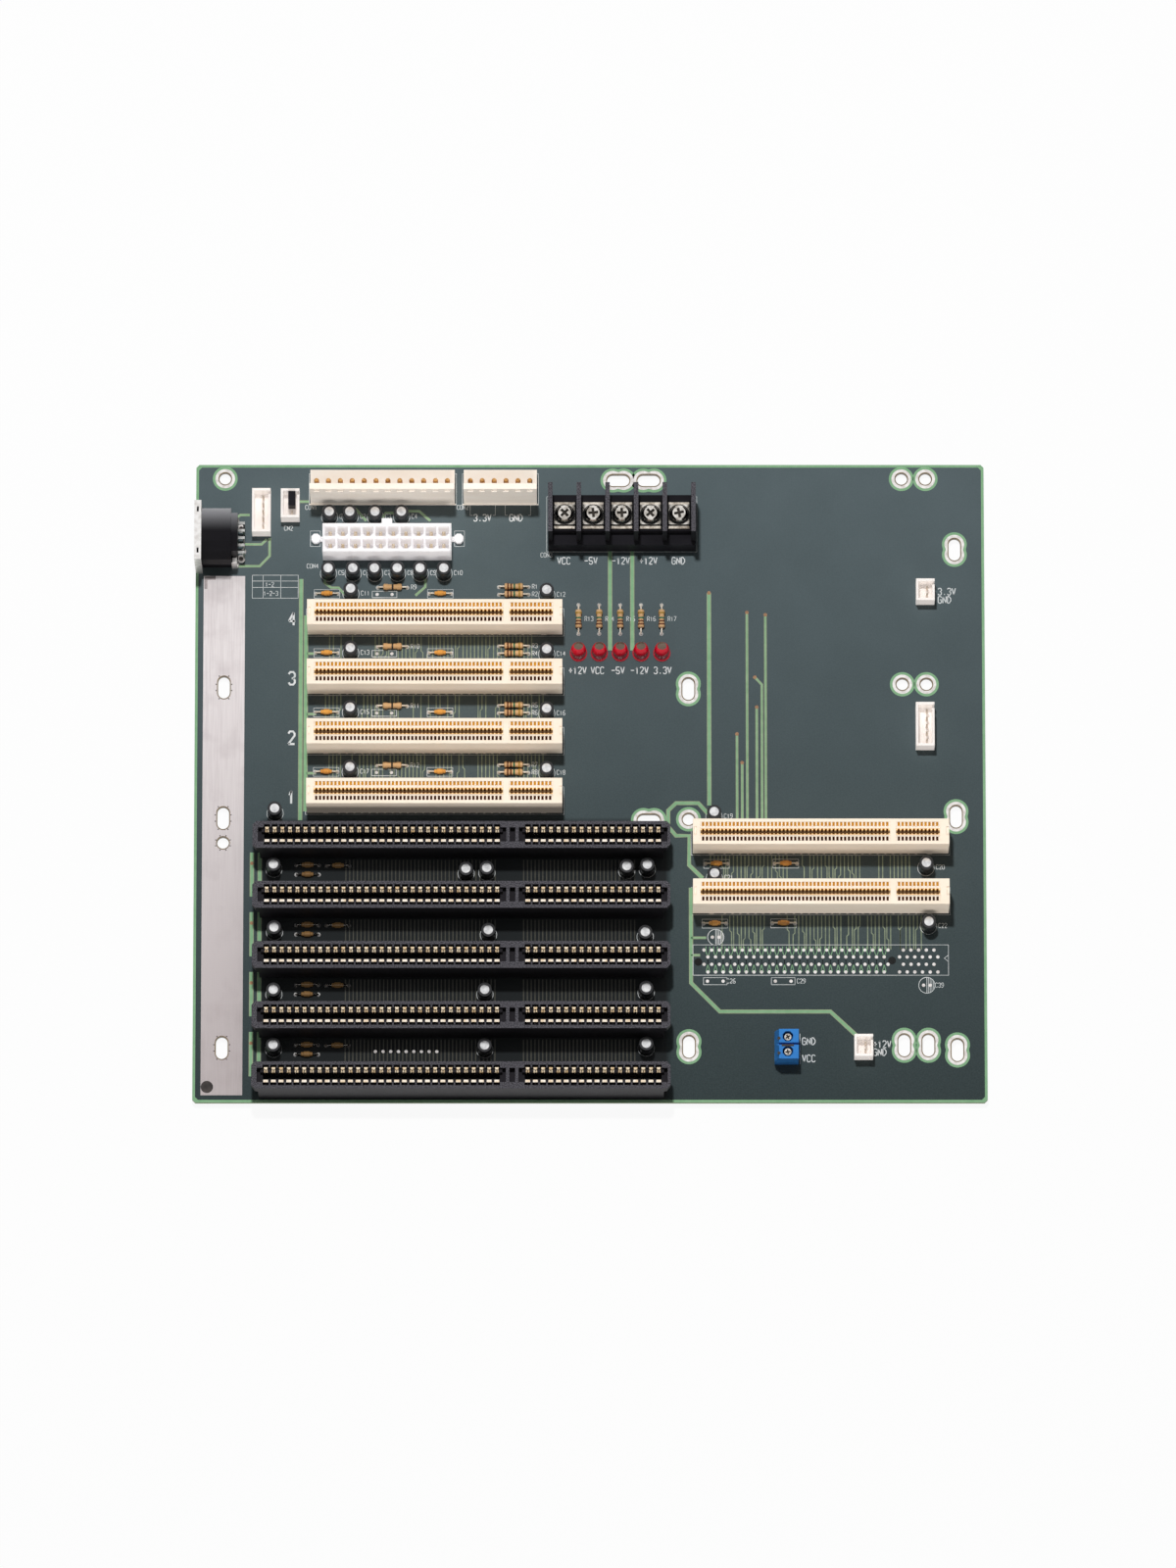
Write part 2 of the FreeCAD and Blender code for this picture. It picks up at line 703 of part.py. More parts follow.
def build_keyboard_socket():
    """Round keyboard socket that faces off the left edge: body on a foot, face pan and terminals."""
    left = -size("board_length") / 2
    inner = left + size("face_thickness")
    shoulder = left + size("face_rim")
    along_x = FreeCAD.Rotation(FreeCAD.Vector(0, 1, 0), 90)
    axis_lift = f"{BOARD_TOP} + socket_centre"

    def along(name, radius, length, start):
        rod = primitive("Prism", name, Polygon="socket_sides", Circumradius=radius, Height=length)
        place(rod, start, SOCKET_Y, axis_lift, along_x)
        return rod

    nose = along("socket_front", "socket_nose", "face_rim - face_thickness", inner)
    barrel = along("socket_barrel", "socket_radius", "socket_body", shoulder)
    foot = primitive("Box", "socket_foot", Length="socket_body", Width="socket_foot_width",
                     Height="socket_foot_height")
    place(foot, shoulder, SOCKET_Y - size("socket_foot_width") / 2)
    back = primitive("Box", "socket_rear", Length="socket_back", Width="socket_back_size",
                     Height="socket_back_size")
    rear_x = shoulder + size("socket_body")
    place(back, rear_x, SOCKET_Y - size("socket_back_size") / 2,
          f"{axis_lift} - socket_back_size / 2")
    housing = doc.addObject("Part::MultiFuse", "socket_housing")
    housing.Shapes = [nose, barrel, foot, back]
    bored = doc.addObject("Part::Cut", "socket_bored")
    bored.Base = housing
    bored.Tool = along("socket_mouth", "socket_bore", "socket_bore_depth", inner)
    core = along("socket_insulator", "socket_core", "socket_bore_depth - socket_core_setback",
                 inner + size("socket_core_setback"))
    socket = doc.addObject("Part::Fuse", "socket_whole")
    socket.Base = bored
    socket.Tool = core
    keep("keyboard_socket", socket)

    face = new_body("socket_face_plate", left, SOCKET_Y)
    plan = new_sketch(face, "plan", "YZ_Plane")
    outline(plan, rectangle("-face_size / 2", "0", "face_size / 2", "face_size"))
    pad(face, plan, "face_rim")
    hollow = new_sketch(face, "hollow", "YZ_Plane", "face_rim")
    inside = "face_size - face_thickness"
    outline(hollow, rectangle(
        "face_thickness - face_size / 2", "face_thickness", "face_size / 2 - face_thickness", inside,
    ))
    pocket(face, hollow, "face_rim - face_thickness")
    opening = new_sketch(face, "opening", "YZ_Plane", "face_thickness")
    polygon(opening, "0", "socket_centre", "face_bore", int(size("socket_sides")))
    pocket(face, opening, "face_thickness")
    slots = new_sketch(face, "slots", "XY_Plane", "face_size")
    for side in ("-", ""):
        outline(slots, rectangle(
            "face_rim / 2 - face_slot_width / 2", f"{side}face_slot_offset - face_slot_length / 2",
            "face_rim / 2 + face_slot_width / 2", f"{side}face_slot_offset + face_slot_length / 2",
        ))
    pocket(face, slots, "face_thickness")

    strip = doc.addObject("PartDesign::Body", "Body_socket_terminal")
    bend = new_sketch(strip, "bend", "XZ_Plane")
    inside = "terminal_reach - terminal_thickness"
    below = "terminal_rise - terminal_thickness"
    outline(bend, (
        ("0", below), (inside, below), (inside, "0"), ("terminal_reach", "0"),
        ("terminal_reach", "terminal_rise"), ("0", "terminal_rise"),
    ))
    pad(strip, bend, "terminal_width", midplane=True)
    terminals = column(rear_x + size("socket_back"), SOCKET_Y, 5, 2.5)
    copies("socket_terminals", strip, [spot(px, py) for px, py in terminals])
    foot_x = size("terminal_reach") - size("terminal_thickness") / 2
    return [(px + foot_x, py) for px, py in terminals]


# Small connectors


def build_wafer(name, x, y, ways):
    """Shrouded header: open box with a keyway in one wall and square pins."""
    body = new_body(name + "_header", x, y)
    length = f"{ways - 1} * wafer_pitch + wafer_end"
    plan = new_sketch(body, "plan", "XY_Plane")
    outline(plan, centred("wafer_width", length))
    pad(body, plan, "wafer_height")
    well = new_sketch(body, "well", "XY_Plane", "wafer_height")
    outline(well, centred("wafer_width - 2 * wafer_wall", f"{length} - 2 * wafer_wall"))
    pocket(body, well, "wafer_height - wafer_floor")
    key = new_sketch(body, "key", "XY_Plane", "wafer_height")
    end = f"({length}) / 2 - wafer_wall"
    outline(key, rectangle("wafer_width / 2 - wafer_wall", f"{end} - wafer_key", "wafer_width / 2", end))
    pocket(body, key, "wafer_key_depth")
    pin = primitive("Box", name + "_pin", Length="wafer_pin", Width="wafer_pin", Height="wafer_pin_length")
    half = size("wafer_pin") / 2
    pins = column(x + size("wafer_pin_offset"), y, ways, size("wafer_pitch"))
    copies(name + "_pins", pin, [spot(px - half, py - half, size("wafer_floor")) for px, py in pins])
    return pins


def build_jumper(pins):
    """Jumper cap pushed over two neighbouring pins, its pockets closed above their tips."""
    (x, low), (_, high) = pins
    tip = "wafer_floor + wafer_pin_length"
    body = new_body("jumper_cap", x, (low + high) / 2, f"{BOARD_TOP} + {tip} - jumper_hole_depth")
    plan = new_sketch(body, "plan", "XY_Plane")
    outline(plan, centred("jumper_width", "jumper_length"))
    pad(body, plan, "jumper_height")
    pockets = new_sketch(body, "pockets", "XY_Plane")
    for side in ("-", ""):
        middle = f"{side}wafer_pitch / 2"
        outline(pockets, rectangle(
            "-jumper_hole / 2", f"{middle} - jumper_hole / 2",
            "jumper_hole / 2", f"{middle} + jumper_hole / 2",
        ))
    pocket(body, pockets, "jumper_hole_depth", flip=True)


def build_wire_terminal():
    """Two-pole wire terminal: bevelled block with screw wells on top and wire entries on its left."""
    x, y = WIRE_TERMINAL
    body = new_body("wire_terminal", x, y)
    side = new_sketch(body, "side", "XZ_Plane")
    half = "wire_width / 2"
    outline(side, (
        (f"-{half}", "0"), (half, "0"), (half, "wire_height"),
        (f"-{half} + wire_bevel", "wire_height"), (f"-{half}", "wire_height - wire_bevel_height"),
    ))
    pad(body, side, "wire_length", midplane=True)
    wells = new_sketch(body, "wells", "XY_Plane", "wire_height")
    for sign in ("-", ""):
        polygon(wells, "wire_screw_offset", f"{sign}wire_pitch / 2", "wire_well", 8)
    pocket(body, wells, "wire_well_depth")
    groove = new_sketch(body, "groove", "XY_Plane", "wire_height")
    outline(groove, centred("wire_width", "wire_groove"))
    pocket(body, groove, "wire_groove_depth")
    entries = new_sketch(body, "entries", "YZ_Plane", f"-{half}")
    for sign in ("-", ""):
        middle = f"{sign}wire_pitch / 2"
        outline(entries, rectangle(
            f"{middle} - wire_entry / 2", "wire_entry_floor",
            f"{middle} + wire_entry / 2", "wire_entry_floor + wire_entry_height",
        ))
    pocket(body, entries, "wire_entry_depth", flip=True)
    screw = primitive("Prism", "wire_screw", Polygon="screw_sides", Circumradius="wire_screw_radius",
                      Height="wire_screw_height")
    floor = size("wire_height") - size("wire_well_depth")
    places = column(x + size("wire_screw_offset"), y, 2, size("wire_pitch"))
    copies("wire_terminal_screws", screw, [spot(px, py, floor) for px, py in places])
    return places


# Lamps and small parts


def turned(rings, sides):
    """Solid of a turned piece with a few flat sides, through (radius, height) rings from the bottom up."""
    angles = [2 * math.pi * (i + 0.5) / sides for i in range(sides)]
    loops = [
        [FreeCAD.Vector(radius * math.cos(angle), radius * math.sin(angle), height) for angle in angles]
        for radius, height in rings
    ]
    outlines = [loops[0][::-1], loops[-1]]
    for low, high in zip(loops, loops[1:]):
        for i in range(sides):
            following = (i + 1) % sides
            outlines.append([low[i], low[following], high[following], high[i]])
    faces = [Part.Face(Part.makePolygon(ring + ring[:1])) for ring in outlines]
    return Part.makeSolid(Part.makeShell(faces))


def build_lamp_master():
    """Lamp: domed lens on a rim, standing off the board on two leads."""
    radius = size("lamp_radius")
    rim = size("lamp_rim")
    shoulder = size("lamp_rim_height")
    straight = size("lamp_straight")
    dome = [
        (radius * math.cos(angle), straight + radius * math.sin(angle))
        for angle in (math.radians(step) for step in (0, 30, 58, 84))
    ]
    lens = doc.addObject("Part::Feature", "lamp_lens")
    lens.Shape = turned([(rim, 0), (rim, shoulder), (radius, shoulder), *dome], int(size("lamp_sides")))
    place(lens, 0, 0, "lamp_lift")
    leads = []
    half = size("lamp_lead") / 2
    for x, y in row(0, 0, 2, size("lamp_lead_pitch")):
        lead = primitive("Box", f"lamp_lead_{len(leads)}", Length="lamp_lead", Width="lamp_lead",
                         Height="lamp_lift")
        lead.Placement.Base = FreeCAD.Vector(x - half, y - half, 0)
        leads.append(lead)
    lamp = doc.addObject("Part::MultiFuse", "lamp_whole")
    lamp.Shapes = [lens, *leads]
    return lamp


def axial_rod(kind):
    """Body of a small axial part, with a few flat sides."""
    return primitive("Prism", kind, Polygon=f"{kind}_sides", Circumradius=f"{kind}_radius",
                     Height=f"{kind}_length")


def lying(kind, x, y, turned=False):
    """Placement of a rod that lies on one of its flats, along X, or along Y when turned."""
    flat = math.pi / size(f"{kind}_sides")
    half = size(f"{kind}_length") / 2
    height = size(f"{kind}_radius") * math.cos(flat)
    roll = -math.degrees(flat)
    if turned:
        tip = FreeCAD.Rotation(FreeCAD.Vector(1, 0, 0), -90)
        on_flat = FreeCAD.Rotation(FreeCAD.Vector(0, 0, 1), 90 + roll)
        return spot(x, y - half, height, tip.multiply(on_flat))
    tip = FreeCAD.Rotation(FreeCAD.Vector(0, 1, 0), 90)
    on_flat = FreeCAD.Rotation(FreeCAD.Vector(0, 0, 1), roll)
    return spot(x - half, y, height, tip.multiply(on_flat))


def build_rods():
    """Resistors and bead capacitors, grouped by where they stand."""
    resistor = axial_rod("resistor")
    bead = axial_rod("bead")
    lamp_places = [(x, LAMP_RESISTOR_Y) for x in LAMP_COLUMNS]
    pair_x, pair_rows = PAIR_RESISTORS
    copies("lamp_resistors", resistor, [lying("resistor", x, y, turned=True) for x, y in lamp_places])
    for name, places in (
        ("pair_resistors", down_rows([(pair_x, y) for y in pair_rows])),
        ("link_resistors", down_rows([LINK_RESISTOR])),
    ):
        copies(name, resistor, [lying("resistor", x, y) for x, y in places])
    for name, places in (
        ("upper_beads", down_rows(UPPER_BEADS)), ("lower_beads", down_rows(LOWER_BEADS)),
        ("right_beads", RIGHT_BEADS),
    ):
        copies(name, bead, [lying("bead", x, y) for x, y in places])


def build_cans():
    """Small upright can capacitors, grouped by where they stand."""
    can = primitive("Prism", "can", Polygon="can_sides", Circumradius="can_radius", Height="can_height")
    upper = down_rows(UPPER_CANS)
    for name, places in (
        ("header_cans", HEADER_CANS), ("upper_cans", upper), ("lower_cans", LOWER_CANS),
        ("right_cans", RIGHT_CANS),
    ):
        copies(name, can, [spot(x, y) for x, y in places])
    return [*LOWER_CANS, *RIGHT_CANS, *HEADER_CANS, *upper]


def build_joints(leads):
    """Pointed solder joints under the board, one below each lead, that the board rests on."""
    half = "joint_width / 2"
    joint = primitive("Wedge", "joint", Xmin=f"-{half}", Xmax=half, Zmin=f"-{half}", Zmax=half,
                      Ymin="0", Ymax="joint_height", X2min="0", X2max="0", Z2min="0", Z2max="0")
    point_down = FreeCAD.Rotation(FreeCAD.Vector(1, 0, 0), -90)
    under = -size("board_thickness")
    copies("solder_joints", joint, [spot(x, y, under, point_down) for x, y in leads])


def check_and_export():
    """Refuse failed features and bad shapes, then write one file for each node."""
    doc.recompute()
    for thing in doc.Objects:
        if "Invalid" in thing.State or "Error" in thing.State:
            raise RuntimeError(f"{thing.Label} failed: {thing.State}")
    for name, thing in nodes.items():
        if thing.Shape.isNull() or not thing.Shape.isValid() or not thing.Shape.Solids:
            raise RuntimeError(f"{name} has no valid solid")
    os.makedirs("parts", exist_ok=True)
    for name, thing in nodes.items():
        thing.Shape.exportStep(f"parts/{name}.step")
        print(name, len(thing.Shape.Solids))


def main():
    """Build every piece in turn and write them out."""
    fill_sheet()
    build_board()
    left_x, left_y = LEFT_SHORT_SLOT
    for index in range(4):
        build_short_slot(f"short_slot_{index + 1}", left_x, left_y + index * SLOT_SPACING)
    right_x, right_y = RIGHT_SHORT_SLOT
    for index in range(2):
        build_short_slot(f"short_slot_{index + 5}", right_x, right_y - index * SLOT_SPACING)
    long_x, long_y = LONG_SLOT
    for index in range(5):
        build_long_slot(f"long_slot_{index + 1}", long_x, long_y - index * SLOT_SPACING)
    leads = []
    leads += build_power_header("twelve_way_header", *TWELVE_WAY, 12)
    leads += build_power_header("six_way_header", *SIX_WAY, 6)
    leads += build_main_header()
    leads += build_barrier_strip()
    leads += build_keyboard_socket()
    for name, (x, y, ways) in WAFERS.items():
        pins = build_wafer(name, x, y, ways)
        leads += pins
        if name == "three_way":
            build_jumper(pins[1:])
    leads += build_wire_terminal()
    lamp = build_lamp_master()
    for index, x in enumerate(LAMP_COLUMNS, start=1):
        copies(f"lamp_{index}", lamp, [spot(x, LAMP_Y)])
        leads += row(x, LAMP_Y, 2, size("lamp_lead_pitch"))
    build_rods()
    for x, y in build_cans():
        leads += row(x, y, 2, size("can_lead_pitch"))
    build_joints(leads)
    check_and_export()


main()
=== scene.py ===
"""Dresses a passive backplane: finishes, board artwork, contacts, small parts, solder side and studio.

Lengths are millimetres in the part's own frame, and become metres where a mesh is made.
"""

from __future__ import annotations

import json
import logging
import math
import random
from dataclasses import dataclass, field
from enum import Enum
from typing import Iterable, Sequence

import bpy
from mathutils import Matrix, Vector
from mathutils.geometry import tessellate_polygon

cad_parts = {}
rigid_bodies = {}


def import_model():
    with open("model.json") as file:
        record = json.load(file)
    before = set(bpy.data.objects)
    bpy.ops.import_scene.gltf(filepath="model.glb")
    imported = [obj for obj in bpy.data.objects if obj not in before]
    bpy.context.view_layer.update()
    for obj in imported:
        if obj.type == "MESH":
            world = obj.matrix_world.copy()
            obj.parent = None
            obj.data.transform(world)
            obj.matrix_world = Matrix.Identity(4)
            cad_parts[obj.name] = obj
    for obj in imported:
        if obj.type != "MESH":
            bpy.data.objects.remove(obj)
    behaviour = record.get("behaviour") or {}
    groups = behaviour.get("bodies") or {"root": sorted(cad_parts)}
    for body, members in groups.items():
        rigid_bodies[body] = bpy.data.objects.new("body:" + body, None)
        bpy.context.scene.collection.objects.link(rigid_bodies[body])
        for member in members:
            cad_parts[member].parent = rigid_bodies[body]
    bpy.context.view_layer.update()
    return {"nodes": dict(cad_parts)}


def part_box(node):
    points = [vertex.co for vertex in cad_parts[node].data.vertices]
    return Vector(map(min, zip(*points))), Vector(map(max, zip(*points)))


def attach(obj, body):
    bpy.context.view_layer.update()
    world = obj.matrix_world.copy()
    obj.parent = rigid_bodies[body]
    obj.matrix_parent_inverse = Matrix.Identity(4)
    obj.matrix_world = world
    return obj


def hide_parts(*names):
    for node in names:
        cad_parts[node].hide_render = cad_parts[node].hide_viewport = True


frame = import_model()

MM = 0.001
BODY = "root"
SHARP_EDGE = math.radians(35)
SLOT_STEP = 20.32  # from one card slot to the next
log = logging.getLogger("backplane")

Point = tuple[float, float]
Place = tuple[float, float, float]
Route = list[Point]
Outline = Sequence[Point]
Piece = bpy.types.Object
Socket = bpy.types.NodeSocket


class Axis(Enum):
    """The direction along which a turned or pressed shape is drawn."""

    X = "x"
    Y = "y"
    Z = "z"


@dataclass(frozen=True)
class Box:
    """The box round one solid, in millimetres, from its lowest to its highest corner."""

    low: Vector
    high: Vector

    @property
    def centre(self) -> Vector:
        """The middle of the box."""
        return (self.low + self.high) / 2

    @property
    def size(self) -> Vector:
        """The box's three sides."""
        return self.high - self.low


def box_of(node: str) -> Box:
    """The box of a whole CAD node."""
    low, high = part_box(node)
    return Box(Vector(low) / MM, Vector(high) / MM)


def solids_of(*nodes: str) -> list[Box]:
    """The box of each separate solid of some CAD nodes, node by node and in a fixed order."""
    return [box for node in nodes for box in split_solids(frame["nodes"][node].data)]


def split_solids(mesh: bpy.types.Mesh) -> list[Box]:
    """Parts a node's mesh into its solids, which share no point.

    Args:
        mesh: The node's mesh.

    Returns:
        The box of each solid, from the back to the front and from left to right.
    """
    keys = [tuple(round(value / MM, 3) for value in vertex.co) for vertex in mesh.vertices]
    leader = {key: key for key in keys}

    def head(key: Place) -> Place:
        """The point that leads the group of this one.

        Args:
            key: The point.

        Returns:
            The leading point.
        """
        while leader[key] != key:
            leader[key] = leader[leader[key]]
            key = leader[key]
        return key

    for polygon in mesh.polygons:
        first, *others = (keys[index] for index in polygon.vertices)
        for other in others:
            leader[head(other)] = head(first)
    groups: dict[Place, list[Place]] = {}
    for key in leader:
        groups.setdefault(head(key), []).append(key)
    boxes = [Box(Vector(map(min, *group)), Vector(map(max, *group))) for group in groups.values()]
    return sorted(boxes, key=lambda box: (round(-box.centre.y, 2), round(box.centre.x, 2), box.low.z))


def feet_of(node: str) -> list[Place]:
    """The middle of the foot of each solid of a CAD node."""
    return [(solid.centre.x, solid.centre.y, solid.low.z) for solid in solids_of(node)]


BOARD = box_of("circuit_board")
TOP = BOARD.high.z
UNDERSIDE = BOARD.low.z


def along(point: Place, axis: Axis) -> Place:
    """Turns a point in the order YZ, ZX or XY, with its place along the axis last, into X, Y and Z."""
    first, second, place = point
    return {Axis.X: (place, first, second), Axis.Y: (second, place, first), Axis.Z: point}[axis]


def rectangle(low: Sequence[float], high: Sequence[float]) -> list[Point]:
    """The anticlockwise corners of an upright rectangle."""
    return [(low[0], low[1]), (high[0], low[1]), (high[0], high[1]), (low[0], high[1])]


def circle(radius: float, sides: int, centre: Point = (0.0, 0.0)) -> list[Point]:
    """Anticlockwise points round a circle."""
    turns = [2 * math.pi * (i + 0.5) / sides for i in range(sides)]
    return [(centre[0] + radius * math.cos(turn), centre[1] + radius * math.sin(turn)) for turn in turns]


class Workpiece:
    """Collects the faces of one mesh, each with the number of its finish."""

    def __init__(self) -> None:
        """Starts with no faces."""
        self.points: list[Place] = []
        self.faces: list[tuple[int, ...]] = []
        self.finishes: list[int] = []

    def add(self, points: Iterable[Sequence[float]], faces: Iterable[Sequence[int]], finish: int = 0) -> None:
        """Adds faces on new points.

        Args:
            points: The new points.
            faces: Faces as indices into the new points, anticlockwise from outside.
            finish: Number of their finish.
        """
        start = len(self.points)
        self.points.extend(tuple(point) for point in points)
        for face in faces:
            self.faces.append(tuple(start + index for index in face))
            self.finishes.append(finish)

    def skin(
        self, rings: Sequence[Sequence[Place]], finish: int = 0, looped: bool = False, flipped: bool = False
    ) -> None:
        """Adds a closed skin over rings of equal count.

        Args:
            rings: The rings in order, each anticlockwise as seen from the next one.
            finish: Number of the finish.
            looped: Whether the last ring joins the first, instead of a face at each end.
            flipped: Whether the rings run clockwise, as in a mirror image.
        """
        count = len(rings[0])
        points = [point for ring in rings for point in ring]
        faces: list[tuple[int, ...]] = []
        if not looped:
            faces = [tuple(reversed(range(count))), tuple(range(len(points) - count, len(points)))]
        for level in range(len(rings) - (not looped)):
            base, over = level * count, (level + 1) % len(rings) * count
            steps = [(i, (i + 1) % count) for i in range(count)]
            faces += [(base + i, base + j, over + j, over + i) for i, j in steps]
        self.add(points, [face[::-1] for face in faces] if flipped else faces, finish)

    def lofted(
        self,
        sections: Sequence[tuple[Outline, float]],
        finish: int = 0,
        axis: Axis = Axis.Z,
        looped: bool = False,
    ) -> None:
        """Adds a solid, or a looped ring, through outlines of equal count with their places along an axis."""
        rings = [[along((*point, height), axis) for point in outline] for outline, height in sections]
        self.skin(rings, finish, looped)

    def prism(self, outline: Outline, low: float, high: float, finish: int = 0, axis: Axis = Axis.Z) -> None:
        """Adds an outline pressed along an axis from a low place to a high one."""
        self.lofted([(outline, low), (outline, high)], finish, axis)

    def band(self, outer: Outline, inner: Outline, low: float, high: float) -> None:
        """Adds a flat ring between two anticlockwise outlines of equal count."""
        self.lofted([(outer, low), (outer, high), (inner, high), (inner, low)], looped=True)

    def block(self, low: Place, high: Place, finish: int = 0, corner: float = 0.0) -> None:
        """Adds an upright block.

        Args:
            low: Lowest corner.
            high: Highest corner.
            finish: Number of the finish.
            corner: Cut taken off the upper edges.
        """
        foot = rectangle(low, high)
        if not corner:
            self.prism(foot, low[2], high[2], finish)
            return
        top = rectangle((low[0] + corner, low[1] + corner), (high[0] - corner, high[1] - corner))
        self.lofted([(foot, low[2]), (foot, high[2] - corner), (top, high[2])], finish)

    def turned(
        self,
        profile: Outline,
        sides: int,
        centre: Place = (0.0, 0.0, 0.0),
        finish: int = 0,
        axis: Axis = Axis.Z,
    ) -> None:
        """Adds a solid turned on an axis.

        Args:
            profile: Radius and height, from the lower end to the upper.
            sides: Number of flats round the axis.
            centre: Point on the axis from which heights count.
            finish: Number of the finish.
            axis: The axis.
        """
        part = Workpiece()
        part.lofted([(circle(radius, sides), height) for radius, height in profile], finish, axis)
        self.join(part, Matrix.Translation(Vector(centre)))

    def join(self, other: Workpiece, matrix: Matrix = Matrix()) -> None:
        """Adds another workpiece, moved.

        Args:
            other: The workpiece to add.
            matrix: Where it goes.
        """
        start = len(self.points)
        self.points.extend(tuple(matrix @ Vector(point)) for point in other.points)
        self.faces.extend(tuple(start + index for index in face) for face in other.faces)
        self.finishes.extend(other.finishes)

    def mesh(self, name: str) -> bpy.types.Mesh:
        """Makes the mesh, in metres, with its finish numbers as a face attribute.

        Args:
            name: Name of the mesh.

        Returns:
            The mesh, with no material yet.
        """
        mesh = bpy.data.meshes.new(name)
        mesh.from_pydata([tuple(value * MM for value in point) for point in self.points], [], self.faces)
        mesh.attributes.new("finish", "INT", "FACE").data.foreach_set("value", self.finishes)
        mesh.validate()
        return mesh

    def piece(self, name: str, finishes: Sequence[Finish]) -> Piece:
        """Makes a finished object of the collected faces.

        Args:
            name: Name of the piece.
            finishes: The finishes, in the order of their numbers.

        Returns:
            The object, linked into the scene.
        """
        mesh = self.mesh(name)
        for finish in finishes:
            mesh.materials.append(finish.material())
        mesh.polygons.foreach_set("material_index", self.finishes)
        return linked(name, mesh)


def linked(name: str, mesh: bpy.types.Mesh) -> Piece:
    """Puts a mesh into the scene as a smooth-shaded object with its hard edges kept.

    Args:
        name: Name of the object.
        mesh: Its mesh.

    Returns:
        The object, at the origin.
    """
    mesh.shade_smooth()
    mesh.set_sharp_from_angle(angle=SHARP_EDGE)
    thing = bpy.data.objects.new(name, mesh)
    bpy.context.scene.collection.objects.link(thing)
    return thing


def settle(piece: Piece, slot: str, *nodes: str) -> Piece:
    """Fixes a piece to the board and hides the CAD nodes that it replaces.

    Args:
        piece: The finished piece.
        slot: Material slot of the record; not used.
        nodes: CAD nodes that the piece replaces.

    Returns:
        The same piece.
    """
    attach(piece, BODY)
    if nodes:
        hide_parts(*nodes)
    log.info("%s: %d faces", piece.name, len(piece.data.polygons))
    return piece


def dress(finish: Finish, *nodes: str) -> None:
    """Gives CAD nodes that stay in view a finish.

    Args:
        finish: The finish.
        nodes: Names of the nodes.
    """
    for node in nodes:
        mesh = frame["nodes"][node].data
        mesh.materials.clear()
        mesh.materials.append(finish.material())
        log.info("%s: dressed in %s", node, finish.name)


def linear(colour: str) -> tuple[float, float, float, float]:
    """Turns a written colour such as #20A0FF into linear light.

    Args:
        colour: Six hexadecimal digits after a hash sign.

    Returns:
        Red, green, blue and an alpha of 1.
    """
    values = [int(colour[i:i + 2], 16) / 255 for i in (1, 3, 5)]
    light = [value / 12.92 if value <= 0.04045 else ((value + 0.055) / 1.055) ** 2.4 for value in values]
    return (*light, 1.0)


class NodeSketch:
    """A node tree, with short calls to add its nodes."""

    def __init__(self, tree: bpy.types.NodeTree) -> None:
        """Takes the tree to draw in."""
        self.tree = tree

    def feed(self, target: Socket, value: object) -> None:
        """Links another socket to an input, or sets the input's own value.

        Args:
            target: The input.
            value: A socket or a value.
        """
        if isinstance(value, Socket):
            self.tree.links.new(value, target)
        else:
            target.default_value = value

    def node(self, kind: str, feeds: dict[object, object], **settings: object) -> bpy.types.Node:
        """Adds a node with its inputs.

        Args:
            kind: Blender's name of the node type.
            feeds: Names or numbers of inputs, with a socket to link or a value to set.
            settings: Values of the node's own properties.

        Returns:
            The node.
        """
        node = self.tree.nodes.new(kind)
        for key, value in settings.items():
            setattr(node, key, value)
        for key, value in feeds.items():
            self.feed(node.inputs[key], value)
        return node

    def out(self, kind: str, feeds: dict[object, object], outlet: object = 0, **settings: object) -> Socket:
        """Adds a node and gives the socket of one of its outputs."""
        return self.node(kind, feeds, **settings).outputs[outlet]

    def sum(self, kind: str, first: object, second: object = 0.0) -> Socket:
        """Joins two values by an operation of the math node, such as MULTIPLY."""
        return self.out("ShaderNodeMath", {0: first, 1: second}, operation=kind)

    def seen(self) -> Socket:
        """Whether a ray comes from the camera, from a mirror or through glass.

        Returns:
            The value socket, 0 or 1.
        """
        ray = self.node("ShaderNodeLightPath", {}).outputs
        direct = self.sum("MAXIMUM", ray["Is Camera Ray"], ray["Is Transmission Ray"])
        return self.sum("MAXIMUM", direct, ray["Is Glossy Ray"])


